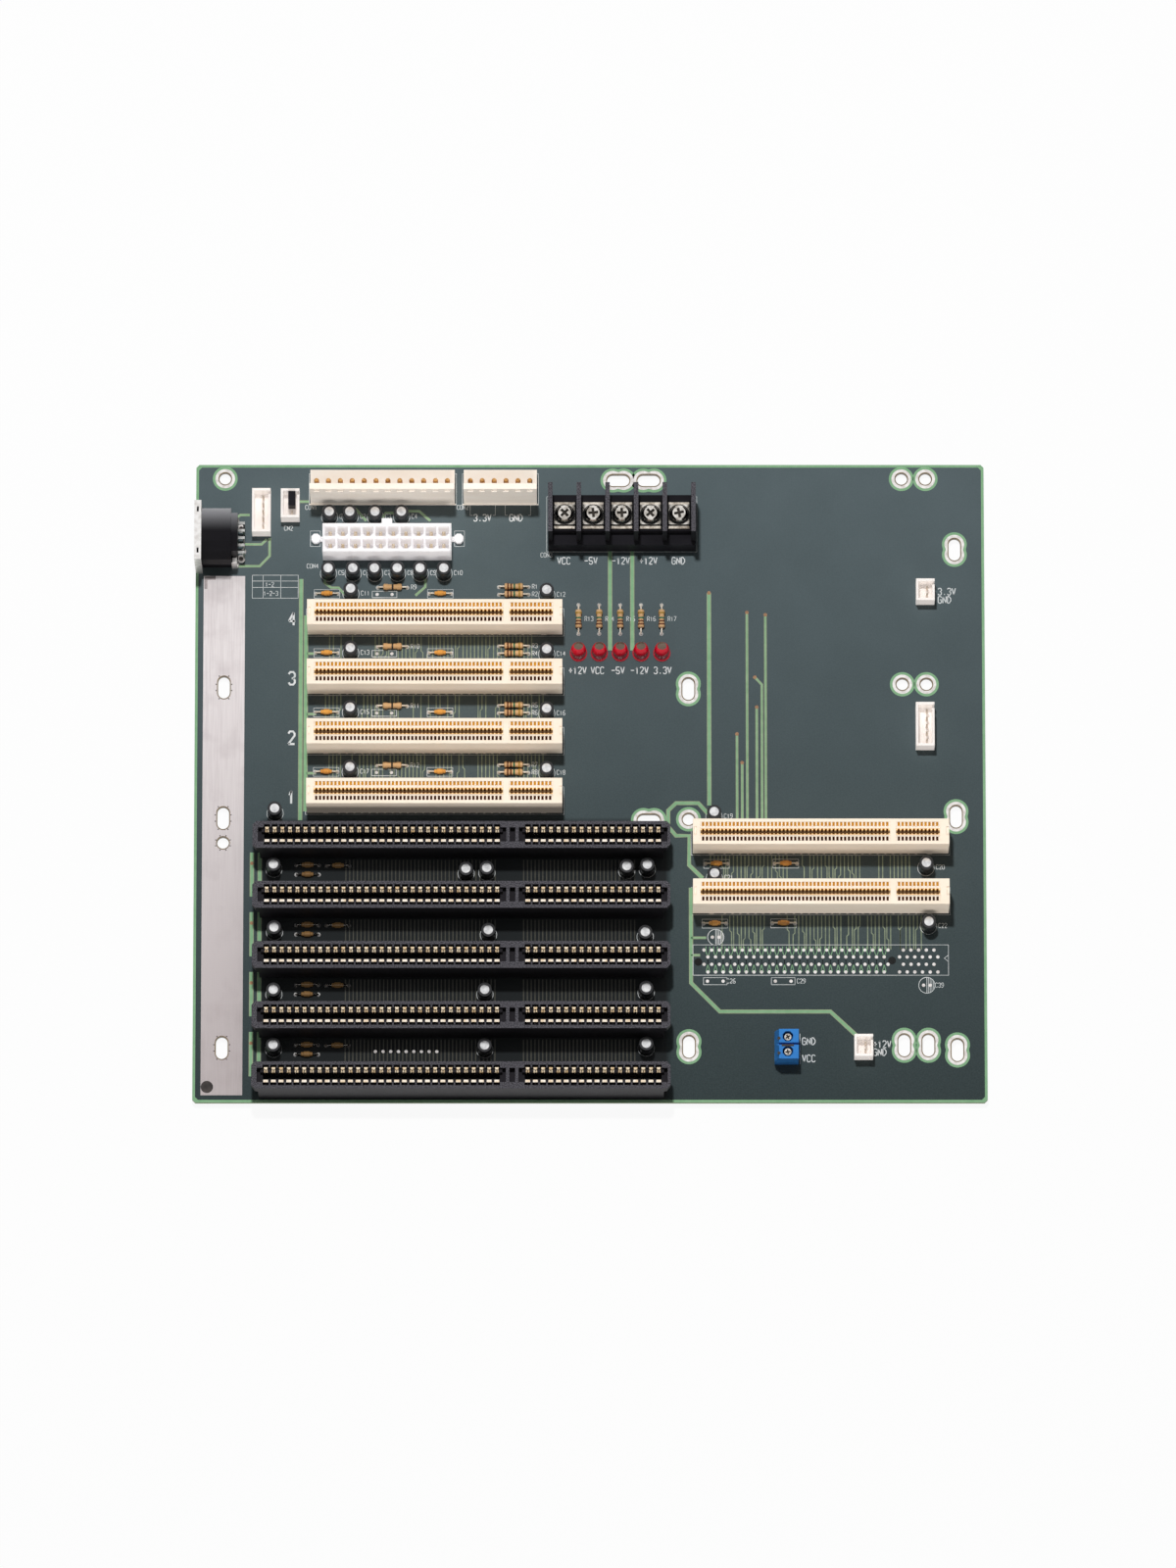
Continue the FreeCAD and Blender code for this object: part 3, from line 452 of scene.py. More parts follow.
class ShaderSketch(NodeSketch):
    """A material's nodes round one principled shader."""

    def __init__(self, name: str) -> None:
        """Makes an empty material.

        Args:
            name: Name of the material.
        """
        self.material = bpy.data.materials.new(name)
        self.material.use_nodes = True
        super().__init__(self.material.node_tree)
        self.shader = self.tree.nodes["Principled BSDF"]

    def shade(self, **values: object) -> None:
        """Links or sets the shader's own sockets, with underscores for the spaces in their names."""
        for key, value in values.items():
            self.feed(self.shader.inputs[key.replace("_", " ")], value)

    def place(self, stretch: Place = (1.0, 1.0, 1.0)) -> Socket:
        """Object coordinates, stretched along each axis."""
        coordinates = self.out("ShaderNodeTexCoord", {}, "Object")
        return self.out("ShaderNodeMapping", {"Vector": coordinates, "Scale": stretch})

    def noise(self, grain: float, detail: float = 3.0, stretch: Place = (1.0, 1.0, 1.0)) -> Socket:
        """Cloudy variation from 0 to 1, with clouds of some millimetres and a number of finer layers."""
        feeds = {"Scale": 1 / (grain * MM), "Detail": detail, "Vector": self.place(stretch)}
        return self.out("ShaderNodeTexNoise", feeds, "Fac")

    def weave(self, pitch: float, direction: str) -> Socket:
        """Fine parallel ridges across X or Y, as of glass cloth, some millimetres apart."""
        feeds = {"Vector": self.place(), "Scale": math.pi / 10 / pitch / MM, "Distortion": 0.6, "Detail": 1.0}
        return self.out("ShaderNodeTexWave", feeds, "Fac", bands_direction=direction)

    def reach(self, axis: str, low: float, high: float) -> Socket:
        """How far a point lies along an axis, from 0 at a low place to 1 at a high one, in millimetres."""
        part = self.out("ShaderNodeSeparateXYZ", {"Vector": self.place()}, axis)
        return self.out("ShaderNodeMapRange", {"Value": part, "From Min": low * MM, "From Max": high * MM})

    def spread(self, value: Socket, low: float, high: float) -> Socket:
        """Maps a value from 0 and 1 to a low and a high."""
        return self.out("ShaderNodeMapRange", {"Value": value, "To Min": low, "To Max": high})

    def ramp(self, value: Socket, *stops: tuple[float, str]) -> Socket:
        """Turns a value into a colour.

        Args:
            value: The value socket.
            stops: Two places from 0 to 1 with their colours.

        Returns:
            The colour socket.
        """
        ramp = self.node("ShaderNodeValToRGB", {"Fac": value})
        for point, (place, colour) in zip(ramp.color_ramp.elements, stops):
            point.position = place
            point.color = linear(colour)
        return ramp.outputs["Color"]

    def mixed(self, amount: Socket, first: object, second: object) -> Socket:
        """Mixes two colours.

        Args:
            amount: How much of the second, from 0 to 1.
            first: A colour socket, or a written colour.
            second: A colour socket, or a written colour.

        Returns:
            The colour socket.
        """
        node = self.node("ShaderNodeMix", {"Factor": amount}, data_type="RGBA")
        inlets = [socket for socket in node.inputs if socket.type == "RGBA"]
        for socket, value in zip(inlets, (first, second)):
            self.feed(socket, linear(value) if isinstance(value, str) else value)
        return next(socket for socket in node.outputs if socket.type == "RGBA")

    def relief(self, value: Socket, depth: float, rounding: float = 0.0) -> None:
        """Gives the surface a fine relief and softly rounded edges.

        Args:
            value: Height from 0 to 1.
            depth: Relief in millimetres.
            rounding: Radius of the rounded edges in millimetres, 0 for none.
        """
        feeds: dict[object, object] = {"Distance": depth * MM, "Height": value}
        if rounding:
            feeds["Normal"] = self.out("ShaderNodeBevel", {"Radius": rounding * MM}, samples=4)
        self.shade(Normal=self.out("ShaderNodeBump", feeds))


@dataclass(frozen=True)
class Finish:
    """A surface finish, made into one shared material."""

    name: str
    main: str  # colour over most of the surface
    second: str  # colour into which it varies

    def material(self) -> bpy.types.Material:
        """The finish's material, made on first use.

        Returns:
            The material.
        """
        made = bpy.data.materials.get(self.name)
        if made is None or not made.get("finish"):
            sketch = ShaderSketch(self.name)
            made = sketch.material
            made["finish"] = True
            self.paint(sketch)
        return made

    def paint(self, sketch: ShaderSketch) -> None:
        """Draws the finish into a material's nodes."""
        raise NotImplementedError


@dataclass(frozen=True)
class MouldedPlastic(Finish):
    """Moulded resin: slight flow marks, a fine matt grain and softly rounded edges."""

    rough: float = 0.42
    rounding: float = 0.18  # radius of the moulded edges
    glow: float = 0.0  # share of light that scatters inside, for milky resins
    depth: float = 0.8  # how far that light goes
    gloss: float = 0.5
    worn: float = 0.0  # height above which the resin turns a speckled grey, 0 for nowhere
    through: float = 0.0  # strength of a painted glow, emitted in the main colour, that stands in for light coming through thin walls
    sheen: Point = (0.0, 0.0)  # Y places, in millimetres, between which a pale painted sheen of the lamp's light comes in

    def paint(self, sketch: ShaderSketch) -> None:
        """Draws the flow marks, the grain and the gloss.

        Args:
            sketch: The material's nodes.
        """
        flow = sketch.noise(5.0, 4.0, (0.35, 1.0, 1.0))
        speck = sketch.noise(0.35, 2.0)
        tone = sketch.ramp(flow, (0.25, self.second), (0.75, self.main))
        tone = sketch.mixed(sketch.spread(speck, 0.0, 0.22), tone, self.second)
        if self.worn:
            speckled_grey = sketch.ramp(speck, (0.34, "#2C2B2F"), (0.62, "#66646A"))
            tone = sketch.mixed(sketch.reach("Z", self.worn, self.worn + 0.05), tone, speckled_grey)
        # Painted sheen: paler on the side that faces the light.
        if any(self.sheen):
            tone = sketch.mixed(sketch.sum("POWER", sketch.reach("Y", *self.sheen), 1.5), tone, "#A8A8AC")
        sketch.shade(Base_Color=tone, Roughness=sketch.spread(speck, self.rough - 0.08, self.rough + 0.1))
        sketch.relief(speck, 0.02, self.rounding)
        sketch.shade(IOR=1.5, Specular_IOR_Level=self.gloss)
        # Painted glow: emission in the resin's own colour lifts its shaded faces.
        sketch.shade(Emission_Color=linear(self.main), Emission_Strength=self.through)
        if self.glow:
            sketch.shade(Subsurface_Weight=self.glow, Subsurface_Scale=self.depth * MM)
            sketch.shade(Subsurface_Radius=(1.0, 1.0, 1.0))


@dataclass(frozen=True)
class PlatedMetal(Finish):
    """Plated or rolled metal with tarnish clouds and fine drawing marks."""

    rough: float = 0.28
    marks: Place = (1.0, 1.0, 1.0)  # stretch of the drawing marks along each axis
    rounding: float = 0.08  # radius of the worked edges

    def paint(self, sketch: ShaderSketch) -> None:
        """Draws the tarnish, the marks and the gloss.

        Args:
            sketch: The material's nodes.
        """
        marks = sketch.noise(0.3, 2.0, self.marks)
        tone = sketch.ramp(sketch.noise(1.6, 4.0), (0.3, self.second), (0.62, self.main))
        sketch.shade(Base_Color=tone, Roughness=sketch.spread(marks, self.rough - 0.1, self.rough + 0.16))
        sketch.relief(marks, 0.012, self.rounding)
        sketch.shade(Metallic=1.0)


@dataclass(frozen=True)
class MaskedBoard(Finish):
    """Glass-cloth laminate under solder mask, with bare laminate at its sawn edges and hole walls."""

    edge: str = "#7E8F63"  # colour of the sawn edge
    # Y places, in millimetres, between which the main colour passes into the second: a painted fall of light,
    # lighter towards the back
    fade: Point = (-110.0, 105.0)
    ground: str = "#1E1F20"  # colour of the painted shade over the board between the long slots
    field: Place = (-108.0, 25.0, -14.0)  # left end, right end and upper end of that painted shade

    def paint(self, sketch: ShaderSketch) -> None:
        """Draws the mask's painted fall of light from back to front, its clouds of tone, the painted shade
        between the long slots, the cloth beneath it and the bare edges.

        Args:
            sketch: The material's nodes.
        """
        tone = sketch.ramp(sketch.reach("Y", *self.fade), (0.0, self.second), (1.0, self.main))
        speck = sketch.noise(0.5, 3.0)
        tone = sketch.mixed(sketch.spread(sketch.noise(14.0, 5.0), 0.0, 0.3), tone, self.second)
        tone = sketch.mixed(sketch.spread(speck, 0.0, 0.16), tone, "#7E8E90")
        # Painted shade over the board between the long slots, where the slots keep the light off.
        left, right, upper = self.field
        inside = sketch.reach("X", left - 2, left)
        inside = sketch.sum("MULTIPLY", inside, sketch.reach("X", right + 2, right))
        inside = sketch.sum("MULTIPLY", inside, sketch.reach("Y", upper + 2, upper))
        tone = sketch.mixed(sketch.spread(inside, 0.0, 0.9), tone, self.ground)
        facing = sketch.out("ShaderNodeNewGeometry", {}, "Normal")
        upright = sketch.out("ShaderNodeSeparateXYZ", {"Vector": facing}, "Z")
        flat = sketch.sum("GREATER_THAN", sketch.sum("ABSOLUTE", upright), 0.5)
        sketch.shade(Base_Color=sketch.mixed(flat, self.edge, tone))
        sketch.shade(Roughness=sketch.spread(speck, 0.38, 0.56))
        cloth = sketch.sum("ADD", sketch.weave(0.55, "X"), sketch.weave(0.55, "Y"))
        sketch.relief(sketch.sum("ADD", cloth, speck), 0.004)
        sketch.shade(Specular_IOR_Level=0.12)


@dataclass(frozen=True)
class ThinCoat(Finish):
    """Ink, mask, solder or bare laminate that lies on a surface as a thin layer of some roughness."""

    rough: float = 0.5

    def paint(self, sketch: ShaderSketch) -> None:
        """Draws the slightly uneven layer.

        Args:
            sketch: The material's nodes.
        """
        speck = sketch.noise(0.22, 2.0)
        tone = sketch.ramp(sketch.noise(2.2, 4.0), (0.28, self.second), (0.66, self.main))
        sketch.shade(Base_Color=sketch.mixed(sketch.spread(speck, 0.0, 0.25), tone, self.second))
        sketch.shade(Roughness=sketch.spread(speck, self.rough - 0.08, self.rough + 0.1))
        sketch.relief(speck, 0.006)


@dataclass(frozen=True)
class BrushedSolder(Finish):
    """Rolled solder over a copper strip: fine lines along its length over the cloth's grid."""

    rough: float = 0.5
    shade: str = "#A89C9B"  # colour of the painted, dimmer reflection towards the strip's lower end
    fade: Point = (40.0, -100.0)  # Y places, in millimetres, between which that painted darkening comes in

    def paint(self, sketch: ShaderSketch) -> None:
        """Draws the brushing, the grid, slow clouds of tone and a painted darkening of the reflection towards
        the lower end.

        Args:
            sketch: The material's nodes.
        """
        brush = sketch.noise(0.4, 3.0, (1.0, 0.03, 1.0))
        grid = sketch.sum("MULTIPLY", sketch.weave(0.62, "X"), sketch.weave(0.62, "Y"))
        tone = sketch.ramp(sketch.noise(9.0, 5.0), (0.1, self.second), (0.5, self.main))
        # Painted reflection: the strip darkens towards its lower end.
        tone = sketch.mixed(sketch.spread(sketch.reach("Y", *self.fade), 0.0, 0.7), tone, self.shade)
        tone = sketch.mixed(sketch.ramp(brush, (0.4, "#000000"), (0.7, "#B0B0B0")), tone, self.second)
        sketch.shade(Base_Color=tone, Roughness=sketch.spread(brush, self.rough - 0.1, self.rough + 0.15))
        sketch.relief(sketch.sum("ADD", brush, grid), 0.01)
        sketch.shade(Metallic=0.55)


@dataclass(frozen=True)
class TintedLens(Finish):
    """Tinted clear resin, painted darker towards its foot as shade."""

    span: Point = (5.0, 15.0)  # heights, in millimetres, of the foot and the top

    def paint(self, sketch: ShaderSketch) -> None:
        """Draws the tint, the swirls in the resin and its gloss.

        Args:
            sketch: The material's nodes.
        """
        swirl = sketch.noise(1.4, 3.0)
        # Painted shade: darker towards the lamp's foot.
        tone = sketch.ramp(sketch.reach("Z", *self.span), (0.0, self.second), (0.8, self.main))
        sketch.shade(Base_Color=sketch.mixed(sketch.spread(swirl, 0.0, 0.3), tone, self.second))
        sketch.shade(Roughness=sketch.spread(swirl, 0.05, 0.16))
        sketch.relief(swirl, 0.01)
        sketch.shade(IOR=1.54, Specular_IOR_Level=0.2, Coat_Weight=0.15, Coat_Roughness=0.05)


@dataclass(frozen=True)
class StudioPaper(Finish):
    """Pale seamless paper that keeps a soft shadow and looks near white to the camera."""

    veil: float = 0.93  # share of plain white light seen by the camera

    def paint(self, sketch: ShaderSketch) -> None:
        """Draws the paper and its veil of white.

        Args:
            sketch: The material's nodes.
        """
        fibre = sketch.noise(1.5, 4.0)
        sketch.shade(Base_Color=sketch.ramp(fibre, (0.2, self.second), (0.8, self.main)), Roughness=0.9)
        sketch.relief(fibre, 0.02)
        white = sketch.out("ShaderNodeEmission", {})
        veil = sketch.sum("MULTIPLY", sketch.seen(), self.veil)
        paper = sketch.out("ShaderNodeMixShader", {"Fac": veil, 1: sketch.shader.outputs["BSDF"], 2: white})
        sketch.feed(sketch.tree.nodes["Material Output"].inputs["Surface"], paper)


MASK = MaskedBoard("solder_mask_green", "#5A666A", "#2B3435")
LAMINATE = ThinCoat("bare_laminate", "#8DB68E", "#7FAC82", 0.45)
COPPER_EDGE = ThinCoat("masked_copper_edge", "#A3AE8E", "#8C9A7C", 0.45)
FINE_LINE = ThinCoat("fine_masked_line", "#8E9A80", "#6E7866", 0.45)
# Darker copy of the fine lines, as painted shade between the long slots.
SHADED_LINE = ThinCoat("fine_line_over_ground", "#4C4B42", "#3C3B35", 0.45)
INK = ThinCoat("white_ink", "#F2F3F3", "#C9CFCF", 0.6)
SCUFF = ThinCoat("dark_scuff", "#2A2726", "#4A4442", 0.7)
# Painted shadow of the keyboard socket on the ground strip.
SOCKET_SHADOW = ThinCoat("strip_smudge", "#8E8484", "#B8AEAE", 0.6)
PIT = ThinCoat("open_hole_shade", "#0A0B0B", "#141515", 0.8)
SOLDER_DOT = ThinCoat("solder_cone", "#F6F4F2", "#CCC8C4", 0.3)
PLATING = ThinCoat("hole_plating_brown", "#8A7654", "#5E4C30", 0.35)
VIA_RIM = ThinCoat("via_rim", "#B08A6A", "#86644A", 0.4)
STRIP = BrushedSolder("ground_strip_solder", "#F0E9E9", "#D3C9CA")
TIN = PlatedMetal("tinned_land", "#F4F0EE", "#CFC8C4", 0.34)
SOLDER = PlatedMetal("solder_fillet", "#D6D6D4", "#9C9C9A", 0.26)
GOLD = PlatedMetal("contact_gold_wash", "#F0B858", "#D89A3A", 0.32, (1.0, 0.2, 0.2))
GOLD_TAIL = ThinCoat("contact_tail_gold", "#E0A01E", "#C0800C", 0.35)
GOLD_TIP = PlatedMetal("contact_back_gold", "#FFF0D6", "#E2C294", 0.36)
PALE_GOLD = PlatedMetal("contact_tip_pale", "#FFF6E8", "#EBD2B0", 0.26)
BRONZE = PlatedMetal("header_pin_bronze", "#E4B070", "#9A6430", 0.3)
PIN_TIN = PlatedMetal("pin_tin", "#F4E8D2", "#CDB48C", 0.3)
GLINT = MouldedPlastic("lens_glint", "#7A6656", "#4A382C", 0.2, 0.0)
STEEL = PlatedMetal("bright_nickel", "#E2DED8", "#9E968C", 0.2)
PLATE = PlatedMetal("socket_plate_nickel", "#F2F0EE", "#D8D4D0", 0.4)
TERMINAL = PlatedMetal("terminal_nickel", "#F0E6D8", "#8A7E70", 0.26)
WIRE = ThinCoat("tinned_wire", "#F2E8DA", "#CFC2B0", 0.3)
ALUMINIUM = PlatedMetal("can_top_aluminium", "#EEEEEE", "#C4C4C6", 0.34)
CREAM = MouldedPlastic("cream_resin", "#E8DACA", "#DECEBA", 0.4, 0.2, 0.1, through=0.12)
# Cream resin in the card channel, painted amber for the gold-tinted light among the contacts.
AMBER = MouldedPlastic("cream_resin_lit_through", "#FFDCA4", "#F0C482", 0.5, 0.0, through=0.12)
DEEP_SHADE = MouldedPlastic("window_shade", "#4A200E", "#2A1208", 0.7, 0.0, gloss=0.1)
BLACK = MouldedPlastic("black_resin", "#1A191C", "#262529", 0.42, 0.16, gloss=0.08)
# Socket body, with a painted sheen on the back of the barrel where the light falls.
SOCKET_BLACK = MouldedPlastic(
    "socket_resin", "#121114", "#1A191C", 0.42, 0.16, gloss=0.08, sheen=(81.0, 90.6)
)
IVORY = MouldedPlastic("ivory_resin", "#ECE4DA", "#E2D6C8", 0.38, 0.2, 0.15, through=0.14)
WHITE = MouldedPlastic("white_resin", "#DAD4D0", "#D0C8C2", 0.4, 0.15, 0.6, 2.0, through=0.32)
MILKY = MouldedPlastic("milky_resin", "#E8E6E8", "#DAD6D8", 0.34, 0.15, 0.9, 4.0, through=0.25)
SLOT_BLACK = MouldedPlastic("slot_resin", "#242225", "#2C2A2E", 0.45, 0.16, gloss=0.06, worn=18.6)
ROUGH_BLACK = MouldedPlastic("barrier_resin", "#141316", "#222125", 0.55, 0.15, gloss=0.1, worn=24.7)
BLUE = MouldedPlastic("blue_resin", "#3A8EDC", "#2C78C4", 0.36, 0.2)
SLEEVE = MouldedPlastic("can_sleeve_black", "#17171A", "#232326", 0.3, 0.0)
TAN = MouldedPlastic("resistor_coat", "#D8B284", "#C49A6A", 0.35, 0.0)
ORANGE = MouldedPlastic("bead_coat", "#F4B256", "#D08A3A", 0.3, 0.0)
# Darker copy of the bead coat, as painted shade between the long slots.
SHADED_ORANGE = MouldedPlastic("bead_coat_dim", "#84653E", "#6A4E30", 0.3, 0.0, through=0.15)
LENS = TintedLens("red_lens", "#E2122F", "#8A0A1C")
BROWN_BAND = MouldedPlastic("band_brown", "#6A3A1E", "#55301A", 0.4, 0.0)
DARK_BAND = MouldedPlastic("band_black", "#1E1A18", "#2C2622", 0.4, 0.0)
GREEN_BAND = MouldedPlastic("band_green", "#2E6A4C", "#24543C", 0.4, 0.0)
GOLD_BAND = MouldedPlastic("band_gold", "#B08A3C", "#93702C", 0.3, 0.0)
DARK_SLOT = MouldedPlastic("cross_recess_shadow", "#2A2622", "#3A342E", 0.6, 0.0)
PAPER = StudioPaper("studio_paper", "#F6F6F6", "#F0F0F0")


class Inlet(Enum):
    """Kinds of named input that a tree takes."""

    GEOMETRY = "NodeSocketGeometry"
    OBJECT = "NodeSocketObject"
    MATERIAL = "NodeSocketMaterial"
    NUMBER = "NodeSocketFloat"
    COUNT = "NodeSocketInt"


class GrowthTree(NodeSketch):
    """A Geometry Nodes tree with named inputs, run on a start mesh and turned into a plain mesh."""

    def __init__(self, name: str, finishes: int, inlets: dict[str, Inlet]) -> None:
        """Makes the tree's group with its inputs and its one output.

        Args:
            name: Start of the node group's name.
            finishes: Number of finishes, each with an input of its own.
            inlets: Named inputs after the start geometry.
        """
        super().__init__(bpy.data.node_groups.new(f"{name}_{finishes}", "GeometryNodeTree"))
        self.finish_names = [f"Finish {index + 1}" for index in range(finishes)]
        materials = {label: Inlet.MATERIAL for label in self.finish_names}
        for label, kind in {"Start": Inlet.GEOMETRY, **inlets, **materials}.items():
            self.tree.interface.new_socket(name=label, in_out="INPUT", socket_type=kind.value)
        self.tree.interface.new_socket(name="Grown", in_out="OUTPUT", socket_type=Inlet.GEOMETRY.value)
        self.entry = self.tree.nodes.new("NodeGroupInput")

    def inlet(self, name: str) -> Socket:
        """The socket that brings a named input."""
        return self.entry.outputs[name]

    def attribute(self, name: str, kind: str) -> Socket:
        """The values of a named attribute of the mesh."""
        return self.out("GeometryNodeInputNamedAttribute", {"Name": name}, "Attribute", data_type=kind)

    def shape(self) -> Socket:
        """The shape that is repeated, as one instance."""
        feeds = {"Object": self.inlet("Shape"), "As Instance": True}
        return self.out("GeometryNodeObjectInfo", feeds, "Geometry")

    def copied(self, points: Socket, shape: Socket, **feeds: object) -> Socket:
        """Copies of a shape on points, with further inputs by name."""
        sources = {"Points": points, "Instance": shape, **feeds}
        return self.out("GeometryNodeInstanceOnPoints", sources, "Instances")

    def end(self, grown: Socket) -> None:
        """Makes plain faces of what has grown, each with the material of its finish number.

        Args:
            grown: Copies, or a mesh without finish numbers, which then count as 0.
        """
        shape = self.out("GeometryNodeRealizeInstances", {"Geometry": grown})
        number = self.attribute("finish", "INT")
        for index, label in enumerate(self.finish_names):
            feeds = {2: number, 3: index}
            same = self.out("FunctionNodeCompare", feeds, "Result", data_type="INT", operation="EQUAL")
            feeds = {"Geometry": shape, "Selection": same, "Material": self.inlet(label)}
            shape = self.out("GeometryNodeSetMaterial", feeds)
        self.node("NodeGroupOutput", {"Grown": shape})

    def run(
        self, name: str, start: bpy.types.Mesh, finishes: Sequence[Finish], values: dict[str, object]
    ) -> Piece:
        """Grows the tree on a start mesh.

        Args:
            name: Name of the piece.
            start: Mesh on which the tree grows.
            finishes: The finishes, in the order of their numbers.
            values: The other named inputs.

        Returns:
            A plain mesh object, with no modifier left.
        """
        seed = bpy.data.objects.new(name + "_start", start)
        bpy.context.scene.collection.objects.link(seed)
        modifier = seed.modifiers.new("growth", "NODES")
        modifier.node_group = self.tree
        items = self.tree.interface.items_tree
        identifiers = {item.name: item.identifier for item in items if item.in_out == "INPUT"}
        materials = {label: finish.material() for label, finish in zip(self.finish_names, finishes)}
        for label, value in {**values, **materials}.items():
            modifier[identifiers[label]] = value
        graph = bpy.context.evaluated_depsgraph_get()
        mesh = bpy.data.meshes.new_from_object(seed.evaluated_get(graph))
        mesh.name = name
        bpy.data.objects.remove(seed)
        return linked(name, mesh)


class CopiesTree(GrowthTree):
    """Copies of one shape on loose points, each turned by its point and a little by chance."""

    def __init__(self, finishes: int) -> None:
        """Builds the tree.

        Args:
            finishes: Number of the shape's finishes.
        """
        numbers = {"Loose Turn": Inlet.NUMBER, "Shrink": Inlet.NUMBER, "Seed": Inlet.COUNT}
        super().__init__("copies", finishes, {"Shape": Inlet.OBJECT, **numbers})
        slack = self.inlet("Loose Turn")
        chance = self.chance(self.sum("MULTIPLY", slack, -1.0), slack)
        turn = self.sum("ADD", self.attribute("turn", "FLOAT"), chance)
        euler = self.out("ShaderNodeCombineXYZ", {"Z": turn})
        rotation = self.out("FunctionNodeEulerToRotation", {0: euler})
        size = self.chance(self.sum("SUBTRACT", 1.0, self.inlet("Shrink")), 1.0)
        self.end(self.copied(self.inlet("Start"), self.shape(), Rotation=rotation, Scale=size))

    def chance(self, low: Socket, high: object) -> Socket:
        """A number by chance for each copy, between two limits."""
        feeds = {2: low, 3: high, "Seed": self.inlet("Seed")}
        return self.out("FunctionNodeRandomValue", feeds, 1, data_type="FLOAT")


class RowsTree(GrowthTree):
    """Rows of one shape in two blocks with a gap, repeated on every loose point."""

    blocks = ("Long", "Short")

    def __init__(self, finishes: int) -> None:
        """Builds the tree.

        Args:
            finishes: Number of the shape's finishes.
        """
        inlets = {"Shape": Inlet.OBJECT, "Pitch": Inlet.NUMBER}
        for block in self.blocks:
            inlets |= {f"{block} Start": Inlet.NUMBER, f"{block} Count": Inlet.COUNT}
        super().__init__("rows", finishes, inlets)
        step = self.out("ShaderNodeCombineXYZ", {"X": self.inlet("Pitch")})
        lines = [self.line(block, step) for block in self.blocks]
        both = self.node("GeometryNodeJoinGeometry", {})
        for line in reversed(lines):
            self.feed(both.inputs["Geometry"], line)
        row = self.copied(both.outputs["Geometry"], self.shape())
        self.end(self.copied(self.inlet("Start"), row))

    def line(self, block: str, step: Socket) -> Socket:
        """A line of points for one block of a row.

        Args:
            block: Long or Short, the first word of the block's inputs.
            step: The way from one point to the next.

        Returns:
            The line's geometry.
        """
        start = self.out("ShaderNodeCombineXYZ", {"X": self.inlet(f"{block} Start")})
        feeds = {"Count": self.inlet(f"{block} Count"), "Start Location": start, "Offset": step}
        return self.out("GeometryNodeMeshLine", feeds, "Mesh", mode="OFFSET")


class RibbonTree(GrowthTree):
    """Flat ribbons of one width along routes on the board."""

    def __init__(self, finishes: int) -> None:
        """Builds the tree.

        Args:
            finishes: Number of finishes, of which ribbons wear the first.
        """
        super().__init__("ribbons", finishes, {"Width": Inlet.NUMBER, "Thickness": Inlet.NUMBER})
        route = self.out("GeometryNodeMeshToCurve", {"Mesh": self.inlet("Start")})
        level = self.out("GeometryNodeSetCurveNormal", {"Curve": route}, mode="Z_UP")
        sides = {"Width": self.inlet("Width"), "Height": self.inlet("Thickness")}
        section = self.out("GeometryNodeCurvePrimitiveQuadrilateral", sides)
        feeds = {"Curve": level, "Profile Curve": section, "Fill Caps": True}
        self.end(self.out("GeometryNodeCurveToMesh", feeds))


def seats(name: str, places: Sequence[Place], turns: Sequence[float] = ()) -> bpy.types.Mesh:
    """A mesh of loose points on which copies sit.

    Args:
        name: Name of the mesh.
        places: The points, in millimetres.
        turns: Turn of each copy about Z, or nothing for no turn.

    Returns:
        The mesh.
    """
    mesh = bpy.data.meshes.new(name)
    mesh.from_pydata([tuple(value * MM for value in place) for place in places], [], [])
    turn = mesh.attributes.new("turn", "FLOAT", "POINT")
    turn.data.foreach_set("value", list(turns) or [0.0] * len(places))
    return mesh


